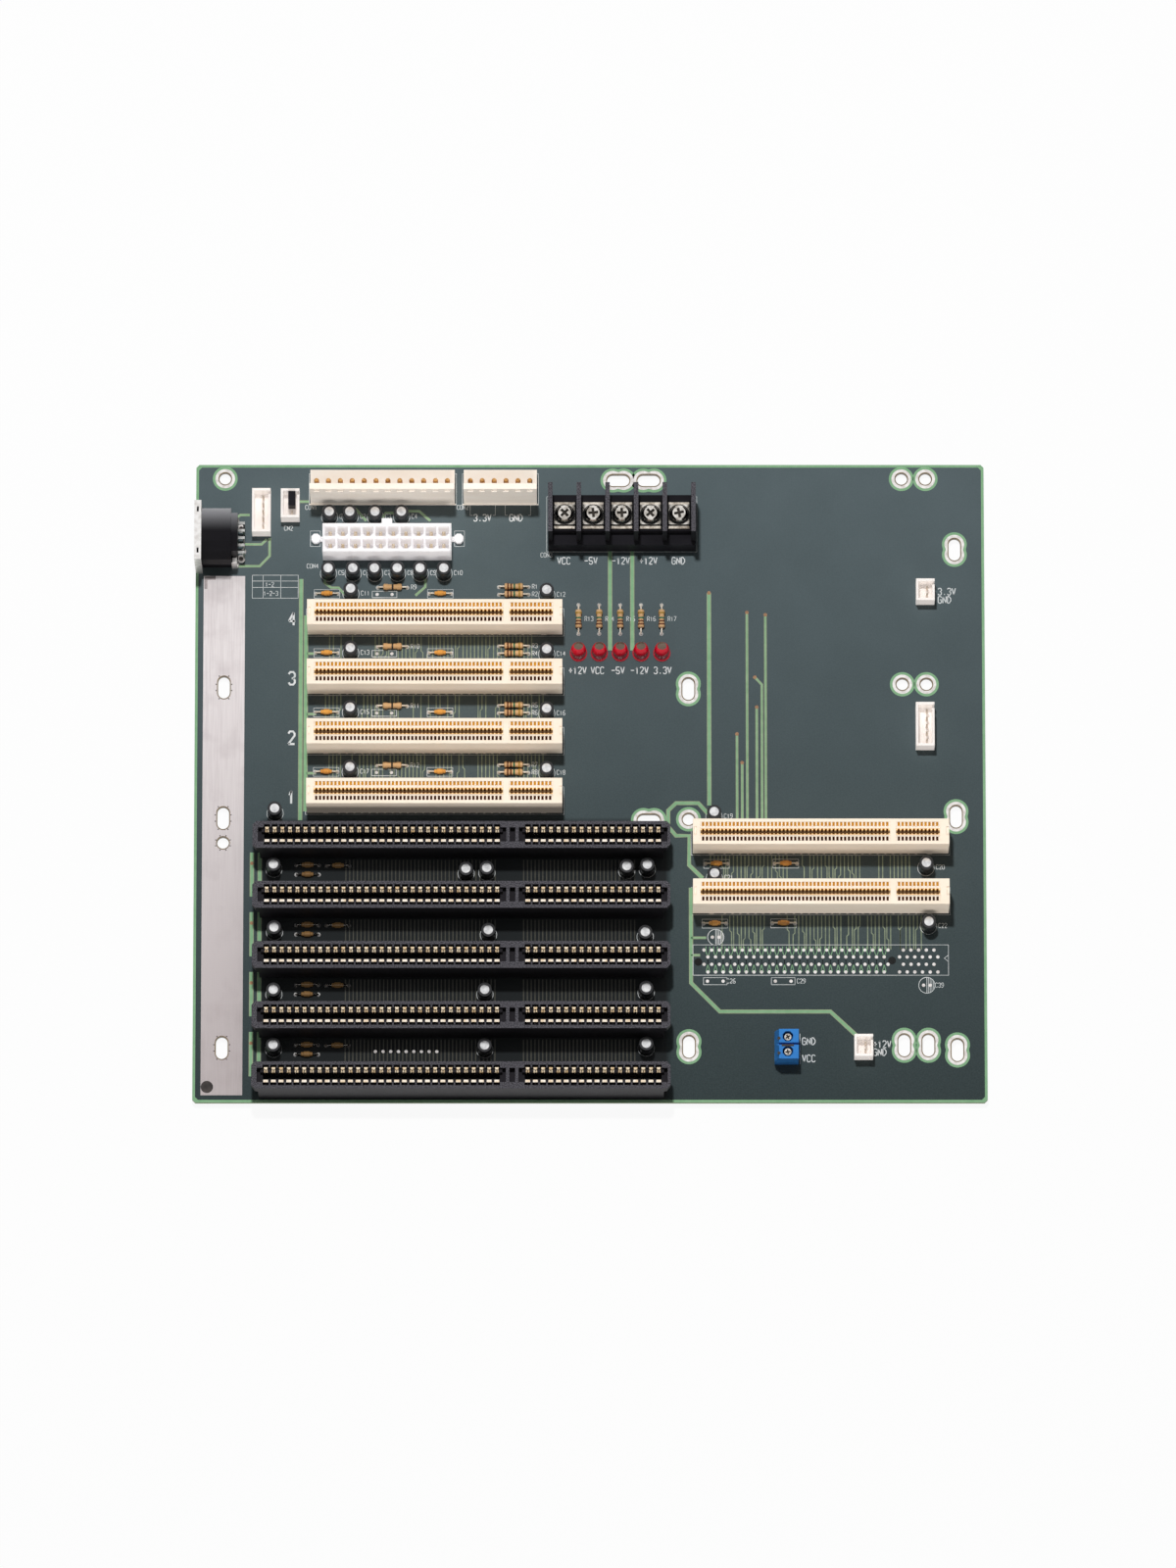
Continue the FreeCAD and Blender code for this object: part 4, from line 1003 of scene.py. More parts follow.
@dataclass
class Workshop:
    """The trees that make what repeats, each built once and kept by kind and number of finishes."""

    made: dict[tuple[type, int], GrowthTree] = field(default_factory=dict)

    def tree(self, kind: type, finishes: Sequence[Finish]) -> GrowthTree:
        """The tree of a kind for as many finishes.

        Args:
            kind: Class of the tree.
            finishes: The finishes.

        Returns:
            The tree.
        """
        key = (kind, len(finishes))
        if key not in self.made:
            self.made[key] = kind(len(finishes))
        return self.made[key]

    def repeated(
        self,
        name: str,
        kind: type,
        start: bpy.types.Mesh,
        shape: Workpiece,
        finishes: Sequence[Finish],
        values: dict[str, object],
    ) -> Piece:
        """Grows a tree that repeats a shape.

        Args:
            name: Name of the piece.
            kind: Class of the tree.
            start: Points on which it grows.
            shape: The shape, drawn about the origin.
            finishes: Its finishes.
            values: The tree's other named inputs.

        Returns:
            The piece.
        """
        master = linked(name + "_shape", shape.mesh(name + "_shape"))
        piece = self.tree(kind, finishes).run(name, start, finishes, {"Shape": master, **values})
        bpy.data.objects.remove(master)
        return piece

    def copies(
        self,
        name: str,
        shape: Workpiece,
        finishes: Sequence[Finish],
        places: Sequence[Place],
        turns: Sequence[float] = (),
        loose: float = 0.0,
        shrink: float = 0.0,
    ) -> Piece:
        """Copies a shape to places, with a turn for each and, by chance, a loose turn and a shrunken size."""
        values = {"Loose Turn": loose, "Shrink": shrink, "Seed": len(places)}
        return self.repeated(name, CopiesTree, seats(name, places, turns), shape, finishes, values)

    def rows(
        self,
        name: str,
        shape: Workpiece,
        finishes: Sequence[Finish],
        places: Sequence[Place],
        pitch: float,
        blocks: Sequence[tuple[float, int]],
    ) -> Piece:
        """Repeats a shape in two blocks of a row, at many places.

        Args:
            name: Name of the piece.
            shape: The shape, drawn about the origin.
            finishes: Its finishes.
            places: Middle of each row.
            pitch: Distance from one copy to the next.
            blocks: Start along X, from the row's middle, and count of each of the two blocks.

        Returns:
            The piece.
        """
        values: dict[str, object] = {"Pitch": pitch * MM}
        for block, (first, count) in zip(RowsTree.blocks, blocks):
            values |= {f"{block} Start": first * MM, f"{block} Count": count}
        return self.repeated(name, RowsTree, seats(name, places), shape, finishes, values)

    def ribbons(
        self, name: str, routes: Sequence[Route], width: float, level: float, finish: Finish
    ) -> Piece:
        """Lays ribbons on the board's upper face.

        Args:
            name: Name of the piece.
            routes: Open routes of two or more points.
            width: Width of the ribbons.
            level: Height of their upper face above the board.
            finish: Their finish.

        Returns:
            The piece.
        """
        mesh = bpy.data.meshes.new(name)
        points: list[Place] = []
        edges = []
        for route in routes:
            edges.extend((len(points) + i, len(points) + i + 1) for i in range(len(route) - 1))
            points.extend((x * MM, y * MM, (TOP + level / 2) * MM) for x, y in route)
        mesh.from_pydata(points, edges, [])
        values = {"Width": width * MM, "Thickness": level * MM}
        return self.tree(RibbonTree, [finish]).run(name, mesh, [finish], values)


@dataclass
class SubAssembly:
    """Pieces of the backplane that belong together."""

    shop: Workshop  # the trees that make what repeats

    def build(self) -> None:
        """Makes and dresses the pieces."""
        raise NotImplementedError

    def stand_in(
        self,
        node: str,
        name: str,
        shape: Workpiece,
        finishes: Sequence[Finish],
        slot: str,
        turns: Sequence[float] = (),
    ) -> None:
        """Puts copies of a shape, under a name of their own, in place of a CAD node's plain solids."""
        settle(self.shop.copies(name, shape, finishes, feet_of(node), turns), slot, node)


def ray_length(direction: Point, radius: float, reach: Point, waisted: bool) -> float:
    """How far a long hole's outline lies from its middle.

    Args:
        direction: Unit direction from the middle.
        radius: Radius of the two ends.
        reach: Way from the middle to each end's centre, along X and along Y.
        waisted: Whether the outline is two overlapping circles instead of straight-sided.

    Returns:
        The distance.
    """
    span = math.hypot(*reach)
    lengthwise = abs(direction[0] * reach[0] + direction[1] * reach[1])
    if span and not waisted:
        crosswise = abs(direction[0] * reach[1] - direction[1] * reach[0]) / span
        if crosswise and radius / crosswise * lengthwise / span <= span:
            return radius / crosswise
    return lengthwise + math.sqrt(radius**2 - span**2 + lengthwise**2)


@dataclass(frozen=True)
class MountingHole:
    """A round or drawn-out mounting hole."""

    centre: Point
    reach: Point = (0.0, 0.0)  # way from the middle to each end's centre, along X and along Y

    def outline(self, radius: float, waisted: bool = False, sides: int = 40) -> list[Point]:
        """Points round the hole at some radius from its ends' centres.

        Args:
            radius: The radius.
            waisted: Whether the outline is two overlapping circles.
            sides: Number of points.

        Returns:
            The points, anticlockwise.
        """
        points = []
        for x, y in circle(1.0, sides):
            length = ray_length((x, y), radius, self.reach, waisted)
            points.append((self.centre[0] + x * length, self.centre[1] + y * length))
        return points


def sheet(piece: Workpiece, outline: Outline, holes: Sequence[Outline], low: float, high: float) -> None:
    """Adds a flat sheet with holes.

    Args:
        piece: The workpiece that gets it.
        outline: Outer outline, anticlockwise.
        holes: Outlines of the holes, anticlockwise.
        low: Underside height.
        high: Upper height.
    """
    loops = [list(outline)] + [list(reversed(hole)) for hole in holes]
    flat = [point for loop in loops for point in loop]
    triangles = []
    for a, b, c in tessellate_polygon([[Vector((*point, 0.0)) for point in loop] for loop in loops]):
        (ax, ay), (bx, by), (cx, cy) = flat[a], flat[b], flat[c]
        turn = (bx - ax) * (cy - ay) - (by - ay) * (cx - ax)
        triangles.append((a, b, c) if turn > 0 else (a, c, b))
    count = len(flat)
    faces = [tuple(index + count for index in triangle) for triangle in triangles]
    faces += [tuple(reversed(triangle)) for triangle in triangles]
    start = 0
    for loop in loops:
        for i in range(len(loop)):
            j = (i + 1) % len(loop)
            faces.append((start + i, start + j, count + start + j, count + start + i))
        start += len(loop)
    piece.add([(*point, low) for point in flat] + [(*point, high) for point in flat], faces)


def cut_corners(low: Sequence[float], high: Sequence[float], cut: float) -> list[Point]:
    """A rectangle's outline with its corners cut off.

    Args:
        low: Lower left corner.
        high: Upper right corner.
        cut: Length of the cut along each side.

    Returns:
        The points, anticlockwise.
    """
    return [
        (low[0] + cut, low[1]), (high[0] - cut, low[1]), (high[0], low[1] + cut), (high[0], high[1] - cut),
        (high[0] - cut, high[1]), (low[0] + cut, high[1]), (low[0], high[1] - cut), (low[0], low[1] + cut),
    ]


@dataclass
class Board(SubAssembly):
    """The circuit board: mask, bare laminate, lands round the holes, ground strip and traces."""

    hole: float = 2.05  # radius of the mounting holes
    draw: float = 1.8  # way from a drawn-out hole's middle to its ends' centres
    round_holes: tuple[Point, ...] = (
        (-121.85, 104.0), (104.0, 103.9), (112.0, 103.9), (104.0, 33.4), (112.0, 33.4), (32.75, -12.7),
        (-121.85, -20.75),
    )
    # middles of the holes drawn out along X
    wide_holes: tuple[Point, ...] = ((9.45, 103.4), (19.6, 103.4), (19.55, -13.0))
    tall_holes: tuple[Point, ...] = (  # middles of the holes drawn out along Y
        (121.6, 79.6), (121.6, -11.8), (121.6, -91.0), (32.75, 31.8), (32.75, -89.9), (104.0, -89.4),
        (112.0, -89.4), (-121.85, 32.3), (-121.85, -12.3), (-121.85, -90.3),
    )
    land: float = 3.3  # radius of the tinned land round a hole
    clearance: float = 4.15  # radius of the bare ring round the land
    plating: float = 0.08  # thickness of the plated hole wall
    rim: float = 0.25  # width of the brown rim on top of it
    border: float = 0.9  # width of the bare border
    corner: float = 1.0  # cut at the board's corners
    # left, right, lower and upper edge of the ground strip
    strip: tuple[float, float, float, float] = (-128.8, -115.0, -106.3, 70.5)
    dimple: Point = (-126.7, -103.5)  # place of the round mark at the strip's lower end
    wide: float = 0.95  # width of the wide traces
    slim: float = 0.4  # width of the slim traces
    fine: float = 0.36  # width of the fine lines
    fine_step: float = 1.27
    bundle: int = 5  # fine lines that are left out or drawn together
    copper_edge: float = 0.5  # width of the copper's edge on both sides of a trace together
    bare_level: float = 0.05  # height of bare laminate and wide traces
    copper_level: float = 0.03  # height of the copper's edge under them
    land_level: float = 0.08  # height of solder on the lands
    strip_level: float = 0.06  # height of solder on the strip

    def holes(self) -> list[MountingHole]:
        """All mounting holes.

        Returns:
            The round ones, those along X and those along Y.
        """
        holes = [MountingHole(centre) for centre in self.round_holes]
        holes += [MountingHole(centre, (self.draw, 0.0)) for centre in self.wide_holes]
        return holes + [MountingHole(centre, (0.0, self.draw)) for centre in self.tall_holes]

    def on_strip(self, hole: MountingHole) -> bool:
        """Whether a hole lies in the ground strip."""
        left, right, low, high = self.strip
        return left < hole.centre[0] < right and low < hole.centre[1] < high

    def build(self) -> None:
        """Makes and dresses the whole board."""
        dress(MASK, "circuit_board")
        self.lands()
        self.bare_laminate()
        self.ground_strip()
        self.traces()
        self.fine_lines()

    def lands(self) -> None:
        """Puts a tinned land on both faces of each hole, and plating on its wall."""
        lands = Workpiece()
        walls = Workpiece()
        for hole in self.holes():
            inner = hole.outline(self.hole - self.plating)
            wall_top = TOP + self.strip_level
            walls.band(hole.outline(self.hole), inner, UNDERSIDE, wall_top)
            walls.band(hole.outline(self.hole + self.rim), inner, wall_top, TOP + self.land_level + 0.01)
            if not self.on_strip(hole):
                lands.band(hole.outline(self.land, True), hole.outline(self.hole), TOP, TOP + self.land_level)
            low = UNDERSIDE - self.land_level
            lands.band(hole.outline(self.land, True), hole.outline(self.hole), low, UNDERSIDE)
        settle(lands.piece("hole_lands", [TIN]), "solder")
        settle(walls.piece("hole_plating", [PLATING]), "contact_gold")

    def bare_laminate(self) -> None:
        """Leaves the laminate bare along the board's edge and round the lands."""
        bare = Workpiece()
        inset = Vector((self.border, self.border, 0.0))
        outer = cut_corners(BOARD.low, BOARD.high, self.corner)
        inner = cut_corners(BOARD.low + inset, BOARD.high - inset, self.corner)
        sheet(bare, outer, [inner], TOP, TOP + self.copper_level)
        sheet(bare, outer, [inner], UNDERSIDE - self.copper_level, UNDERSIDE)
        for hole in self.holes():
            if not self.on_strip(hole):
                ring = hole.outline(self.clearance, True)
                bare.band(ring, hole.outline(self.land, True), TOP, TOP + self.bare_level)
        settle(bare.piece("bare_laminate", [LAMINATE]), "solder_mask")

    def ground_strip(self) -> None:
        """Lays the solder-coated strip along the left edge, with its marks and the socket's painted shadow.
        """
        left, right, low, high = self.strip
        coat = Workpiece()
        openings = [hole.outline(self.hole) for hole in self.holes() if self.on_strip(hole)]
        sheet(coat, rectangle((left, low), (right, high)), openings, TOP, TOP + self.strip_level)
        settle(coat.piece("ground_strip", [STRIP]), "solder")
        marks = Workpiece()
        level = TOP + self.strip_level
        marks.turned([(2.05, 0.0), (2.05, 0.02), (1.7, 0.03)], 24, (*self.dimple, level))
        # Painted shadow of the keyboard socket at the strip's upper end.
        marks.block((left + 0.2, high - 4.4, level), (left + 1.2, high - 0.1, level + 0.01), 1)
        marks.block((left + 1.2, high - 1.3, level), (left + 4.0, high - 0.1, level + 0.01), 1)
        for hole in self.holes():
            if self.on_strip(hole):
                for x, y in hole.outline(self.hole + 0.55)[2::5]:
                    marks.turned([(0.22, 0.0), (0.22, 0.02)], 8, (x, y, level))
        settle(marks.piece("strip_dimple", [SCUFF, SOCKET_SHADOW]), "solder_mask")

    def traces(self) -> None:
        """Lays the wide traces, each a bare line between edges of masked copper."""
        wide: list[Route] = [
            [(39.65, 64.7), (39.65, -8.0)],
            [(6.7, 79.0), (6.7, 45.0)],
            [(14.1, 79.0), (14.1, 45.0)],
            [(33.5, -36.0), (33.5, -68.3), (43.0, -78.0), (79.6, -78.0), (88.3, -86.2)],
            [(-96.3, 69.5), (-96.3, -13.0)],
            [(-94.6, 57.0), (-94.6, -10.0)],
            [
                (39.2, -10.8), (36.0, -7.2), (28.6, -7.2), (26.0, -9.7), (26.0, -15.3), (28.6, -18.3),
                (32.9, -18.3), (32.9, -28.3), (37.4, -32.8),
            ],
        ]
        wide += [[(x, y + 7.5), (x, y - 7.5)] for y in (-31.5, -51.8, -72.1, -92.4) for x in (-112.2, -109.6)]
        slim: list[Route] = [
            [(48.9, 16.4), (48.9, -15.0)],
            [(50.6, 6.6), (50.6, -15.0)],
            [(52.3, 58.0), (52.3, -15.0)],
            [(55.5, 25.6), (55.5, -15.0)],
            [(54.9, 35.8), (57.2, 33.3), (57.2, -15.0)],
            [(58.45, 57.2), (58.45, -15.0)],
            [(33.5, -53.0), (38.5, -53.0)],
            [(33.5, -58.9), (36.5, -58.9)],
            [(-118.0, 90.6), (-116.7, 91.5), (-113.6, 91.5)],
            [(-117.2, 81.4), (-109.6, 81.4), (-107.9, 83.1)],
            [(-117.2, 73.9), (-110.2, 73.9), (-106.9, 77.4), (-106.9, 83.6)],
            [(-97.4, 96.1), (-93.8, 96.1)],
            [(-65.6, 92.2), (-68.2, 92.2), (-69.7, 90.1)],
            [(-61.1, 92.8), (-57.0, 92.8), (-53.3, 89.5)],
            [(-78.3, 93.7), (-74.7, 89.5)],
            [(-88.4, 69.5), (-88.4, 68.1), (-86.3, 66.5), (-83.8, 66.5), (-81.8, 64.1)],
            [(-54.9, 69.5), (-54.9, 66.8), (-58.2, 63.8)],
        ]
        slim += [[(-94.3, y), (-91.1, y)] for y in (43.9, 23.2, 3.0)]
        for name, routes, width in (("wide_traces", wide, self.wide), ("slim_traces", slim, self.slim)):
            layers = (("_edges", width + self.copper_edge, self.copper_level, COPPER_EDGE),
                      ("", width, self.bare_level, LAMINATE))
            for suffix, *layer in layers:
                settle(self.shop.ribbons(name + suffix, routes, *layer), "solder_mask")
        ends = [(*route[0], TOP) for route in slim[:6]] + [(39.65, 64.7, TOP)]
        ends += [(-112.2, y, TOP) for y in (-27.7, -48.0, -68.3, -88.7)]
        via = Workpiece()
        via.turned([(0.62, 0.0), (0.62, 0.07), (0.34, 0.07), (0.3, 0.055)], 12)
        settle(self.shop.copies("trace_vias", via, [VIA_RIM], ends), "solder")

    def fine_lines(self) -> None:
        """Draws the fine signal lines that cross the gaps between the card slots."""
        chance = random.Random(7)
        short = [(-88.0, -14.0, 50.3 - SLOT_STEP * i, 38.6 - SLOT_STEP * i) for i in range(3)]
        right_hand = [(40.0, 112.0, -25.0, -35.5), (40.0, 112.0, -45.5, -57.0)]
        spans = ((-81.0, -29.0), (-22.0, 17.0))
        long = [(*span, -26.5 - SLOT_STEP * i, -36.5 - SLOT_STEP * i) for i in range(4) for span in spans]
        fields = (
            ("fine_lines", FINE_LINE, short + right_hand, (0.2, 0.6, 0.9, 1.0), (0.0, 0.0, 0.0, 0.6, -0.6)),
            # Lines between the long slots take the darker copy, as painted shade.
            ("fine_lines_over_ground", SHADED_LINE, long, (1.0,), (0.0,)),
        )
        for name, finish, gaps, shares, jogs in fields:
            routes: list[Route] = []
            for left, right, upper, lower in gaps:
                for index in range(int((right - left) / self.fine_step)):
                    if index % self.bundle == 0:
                        share = chance.choice(shares)
                    x = left + self.fine_step * index
                    if chance.random() < share:
                        jog = chance.choice(jogs)
                        bend = upper + (lower - upper) * chance.uniform(0.3, 0.7)
                        route = [(x, upper), (x, bend), (x + jog, bend - abs(jog)), (x + jog, lower)]
                        routes.append(route if jog else [route[0], route[-1]])
            settle(self.shop.ribbons(name, routes, self.fine, self.copper_level, finish), "solder_mask")


def strip_along(path: Sequence[Place], thickness: float, side: int, shift: float = 0.0) -> Workpiece:
    """A bent metal strip drawn in the YZ plane, with its own half width at each point.

    Args:
        path: Y, Z and half width of the strip's face, from its tip to its foot.
        thickness: Thickness of the metal.
        side: 1 for a strip on the +Y side, -1 for its mirror image.
        shift: Middle of the strip along X.

    Returns:
        The strip.
    """
    strip = Workpiece()
    corners = ((-1, 0.0), (1, 0.0), (1, thickness), (-1, thickness))
    rings = [[(shift + turn * half, side * (y + back), z) for turn, back in corners] for y, z, half in path]
    strip.skin(rings, flipped=side > 0)
    return strip


@dataclass
class CardSlots(SubAssembly):
    """A family of like card slots with two blocks of contacts parted by a key."""

    family: str  # start of the CAD nodes' names
    count: int
    pitch: float
    first: float  # first contact from the slot's middle
    blocks: tuple[int, int]  # numbers of contacts before and after the key
    key: int  # pitches that the key takes

    def nodes(self) -> list[str]:
        """Names of the slots' housings."""
        return [f"{self.family}_{index + 1}" for index in range(self.count)]

    def tops(self) -> list[Place]:
        """Middle of each slot's top."""
        boxes = [box_of(node) for node in self.nodes()]
        return [(box.centre.x, box.centre.y, box.high.z) for box in boxes]

    def starts(self, shift: float = 0.0, more: int = 0) -> list[tuple[float, int]]:
        """Start and count of the two blocks of a row.

        Args:
            shift: Shift of the row in pitches.
            more: Members beyond the number of contacts.

        Returns:
            Start and count of the long block and of the short one.
        """
        second = self.first + (self.blocks[0] - 1 + self.key) * self.pitch
        starts = (self.first, second)
        return [(start + shift * self.pitch, count + more) for start, count in zip(starts, self.blocks)]

    def row(self, name: str, member: Workpiece, finish: Finish, slot: str, between: bool = False) -> None:
        """Repeats a member, drawn at a slot's top, at every contact of all slots or between the contacts."""
        starts = self.starts(-0.5, 1) if between else self.starts()
        settle(self.shop.rows(name, member, [finish], self.tops(), self.pitch, starts), slot)


@dataclass
class ShortSlots(CardSlots):
    """The six cream card slots: contacts, ribs between the windows, dark wells and small feet."""

    family: str = "short_slot"
    count: int = 6
    pitch: float = 1.27
    first: float = -39.05
    blocks: tuple[int, int] = (49, 11)
    key: int = 3
    window: Point = (1.75, 3.2)  # inner and outer side of the window rows, from the slot's middle
    window_depth: float = 2.0
    channel: float = 1.0  # half width of the card channel
    channel_depth: float = 8.0
    metal: float = 0.72  # width of a contact
    gauge: float = 0.14  # thickness of its metal
    rib: float = 0.52  # width of a rib
    well: float = 0.45  # depth at which the front windows go dark
    shade: Place = (0.99, 0.15, 1.7)  # front side, back side and depth of the dark in the channel
    foot: Place = (0.9, 0.8, 0.6)  # size of a small foot along X, along Y and in height
    foot_pitch: float = 2.54
    half_feet: int = 13  # number of feet in each half of a wall
    # left and right side of the floors in the cuts at both ends, from the slot's left or right end
    plugs: tuple[Point, Point] = ((0.46, 1.14), (-0.89, -0.01))
    plug_reach: Point = (-1.29, 1.59)  # front and back side of these floors
    plug_span: Point = (3.0, 0.6)  # depth of their underside and of their top

    def build(self) -> None:
        """Makes and dresses all short slots."""
        dress(CREAM, *self.nodes())
        self.contacts()
        self.ribs()
        self.wells()
        self.end_floors()
        self.feet()

    def contacts(self) -> None:
        """Bends a pair of springs for each place, and sets the tail that fills its back window."""
        pair = Workpiece()
        half = self.metal / 2
        bends = ((0.9, -0.5), (0.62, -1.2), (0.42, -2.6), (0.84, -4.6), (0.84, -9.0))
        for side in (1, -1):
            pair.join(strip_along([(*bend, half) for bend in bends], self.gauge, side))
        inner, outer = self.window
        low = -self.window_depth
        tail = Workpiece()
        slope = [(inner, low), (outer, low), (outer, -0.45), (inner, -1.15)]
        tail.prism(slope, -half, half, axis=Axis.X)
        self.row("short_slot_contacts", pair, GOLD, "contact_gold")
        self.row("short_slot_tails", tail, GOLD_TAIL, "contact_gold")

    def ribs(self) -> None:
        """Sets a rib between every two windows, in both rows, and ones in the channel painted amber for the
        light that the gold contacts throw there.
        """
        rib = Workpiece()
        inner, outer = self.window
        half = self.rib / 2
        for low, high in ((inner, outer), (-outer, -inner)):
            rib.block((-half, low, -self.window_depth), (half, high, -0.03), corner=0.08)
        self.row("short_slot_ribs", rib, CREAM, "cream_plastic", True)
        wall = Workpiece()
        for low, high in ((self.channel - 0.42, self.channel), (-self.channel, -self.channel + 0.42)):
            wall.block((-half, low, -self.channel_depth), (half, high, -0.8))
        self.row("short_slot_channel_ribs", wall, AMBER, "cream_plastic", True)

    def wells(self) -> None:
        """Darkens the front windows and the channel's front half, where the contacts lie out of the light."""
        inner, outer = self.window
        fore, back, depth = self.shade
        wells = Workpiece()
        for x, y, z in self.tops():
            for start, count in self.starts(-0.5, 1):
                end = start + (count - 1) * self.pitch
                low = (x + start, y - outer, z - self.window_depth)
                wells.block(low, (x + end, y - inner, z - self.well))
                low = (x + start, y - fore, z - self.channel_depth)
                wells.block(low, (x + end, y - back, z - depth))
        settle(wells.piece("short_slot_wells", [DEEP_SHADE]), "contact_gold")

    def end_floors(self) -> None:
        """Lays a floor in the cut at each end of a slot, where light falls in."""
        floors = Workpiece()
        front, back = self.plug_reach
        low, high = self.plug_span
        for box in map(box_of, self.nodes()):
            y, z = box.centre.y, box.high.z
            for x, (left, right) in zip((box.low.x, box.high.x), self.plugs):
                floors.block((x + left, y + front, z - low), (x + right, y + back, z - high))
        settle(floors.piece("short_slot_end_floors", [CREAM]), "cream_plastic")

    def feet(self) -> None:
        """Sets the row of small feet under the front and back walls."""
        foot = Workpiece()
        reach = box_of("short_slot_1").size.y / 2
        length, depth, height = self.foot
        for low, high in ((-reach, depth - reach), (reach - depth, reach)):
            foot.lofted([
                (rectangle((-length / 4, low), (length / 4, high)), 0.0),
                (rectangle((-length / 2, low), (length / 2, high)), height),
            ])
        seats_below = [(x, y, TOP) for x, y, _ in self.tops()]
        blocks = [(first * self.foot_pitch, self.half_feet) for first in (0.5 - self.half_feet, 0.5)]
        piece = self.shop.rows("short_slot_feet", foot, [CREAM], seats_below, self.foot_pitch, blocks)
        settle(piece, "cream_plastic")


@dataclass
class LongSlots(CardSlots):
    """The five long black card slots: their flared, forked contacts and the ribs between them."""

    family: str = "long_slot"
    count: int = 5
    pitch: float = 2.54
    first: float = -64.35
    blocks: tuple[int, int] = (31, 18)
    key: int = 4
    chamber: Place = (1.05, 3.45, 9.0)  # inner side, outer side and depth of the contact chambers
    window: float = 2.4  # side at which the ribs reach the slot's top
    rib: float = 0.56  # width of a rib
    fork: float = 0.36  # distance of a prong from the contact's middle
    gauge: float = 0.25  # thickness of the metal

    def build(self) -> None:
        """Makes and dresses all long slots."""
        dress(SLOT_BLACK, *self.nodes())
        self.contacts()
        self.ribs()

    def contacts(self) -> None:
        """Bends the contacts of both rows: a flared top and two prongs bowed towards the card."""
        depth = self.chamber[2]
        back = [(2.4, -0.35, 0.64), (1.95, -0.75, 0.46), (1.8, -1.5, 0.3)]
        front = [(2.2, -0.3, 0.82), (1.5, -0.58, 0.78), (1.35, -1.5, 0.3)]
        prong = [(1.8, -1.5, 0.22), (1.2, -2.0, 0.28), (1.05, -2.6, 0.28), (1.6, -5.0, 0.2)]
        prong.append((2.0, -depth, 0.2))
        rows = ((1, "back", GOLD_TIP, back), (-1, "front", PALE_GOLD, front))
        for side, label, finish, flare in rows:
            contact = strip_along(flare, self.gauge, side)
            for shift in (-self.fork, self.fork):
                contact.join(strip_along(prong, self.gauge, side, shift))
            self.row(f"long_slot_{label}_contacts", contact, finish, "contact_gold")

    def ribs(self) -> None:
        """Sets a rib between every two contacts: high by the windows, lower beside the card."""
        rib = Workpiece()
        inner, outer, depth = self.chamber
        half = self.rib / 2
        for side in (-1, 1):
            spans = ((self.window, outer, half, 0.04), (inner, self.window, self.rib, 1.1))
            for near, far, reach, drop in spans:
                low, high = sorted((side * near, side * far))
                rib.block((-reach, low, -depth), (reach, high, -drop), corner=0.06)
        self.row("long_slot_ribs", rib, SLOT_BLACK, "black_plastic", True)


def square_pin(plain: Box, point: float) -> Workpiece:
    """A square pin with a tapered tip, standing on the origin.

    Args:
        plain: The plain pin of the CAD.
        point: Height of the tapered tip.

    Returns:
        The pin.
    """
    pin = Workpiece()
    half = plain.size.x / 2
    height = plain.size.z
    square = rectangle((-half, -half), (half, half))
    tip = rectangle((-half / 3, -half / 3), (half / 3, half / 3))
    pin.lofted([(square, 0.0), (square, height - point), (tip, height)])
    return pin


def cross_screw(plain: Box, sides: int = 20) -> Workpiece:
    """A pan-head screw with a cross recess, standing on the origin.

    Args:
        plain: The plain head of the CAD.
        sides: Flats round the head.

    Returns:
        The screw, with its metal as the first finish and the recess floor as the second.
    """
    screw = Workpiece()
    radius = plain.size.x / 2
    height = plain.size.z
    flat = radius * 0.74
    waist = height * 0.45
    shoulder = [(radius * 0.95, 0.0), (radius, height * 0.15), (radius, waist)]
    screw.turned(shoulder, sides)
    collar = [(flat, waist), (radius, waist), (radius * 0.9, height * 0.82), (flat, height)]
    screw.lofted([(circle(reach, sides), level) for reach, level in collar], looped=True)
    arm = radius * 0.56
    half = radius * 0.15
    cross = [
        (arm, -half), (arm, half), (half, half), (half, arm), (-half, arm), (-half, half),
        (-arm, half), (-arm, -half), (-half, -half), (-half, -arm), (half, -arm), (half, -half),
    ]
    sheet(screw, circle(flat, sides), [cross], waist, height)
    screw.prism(cross, waist - 0.05, waist + 0.02, 1)
    return screw


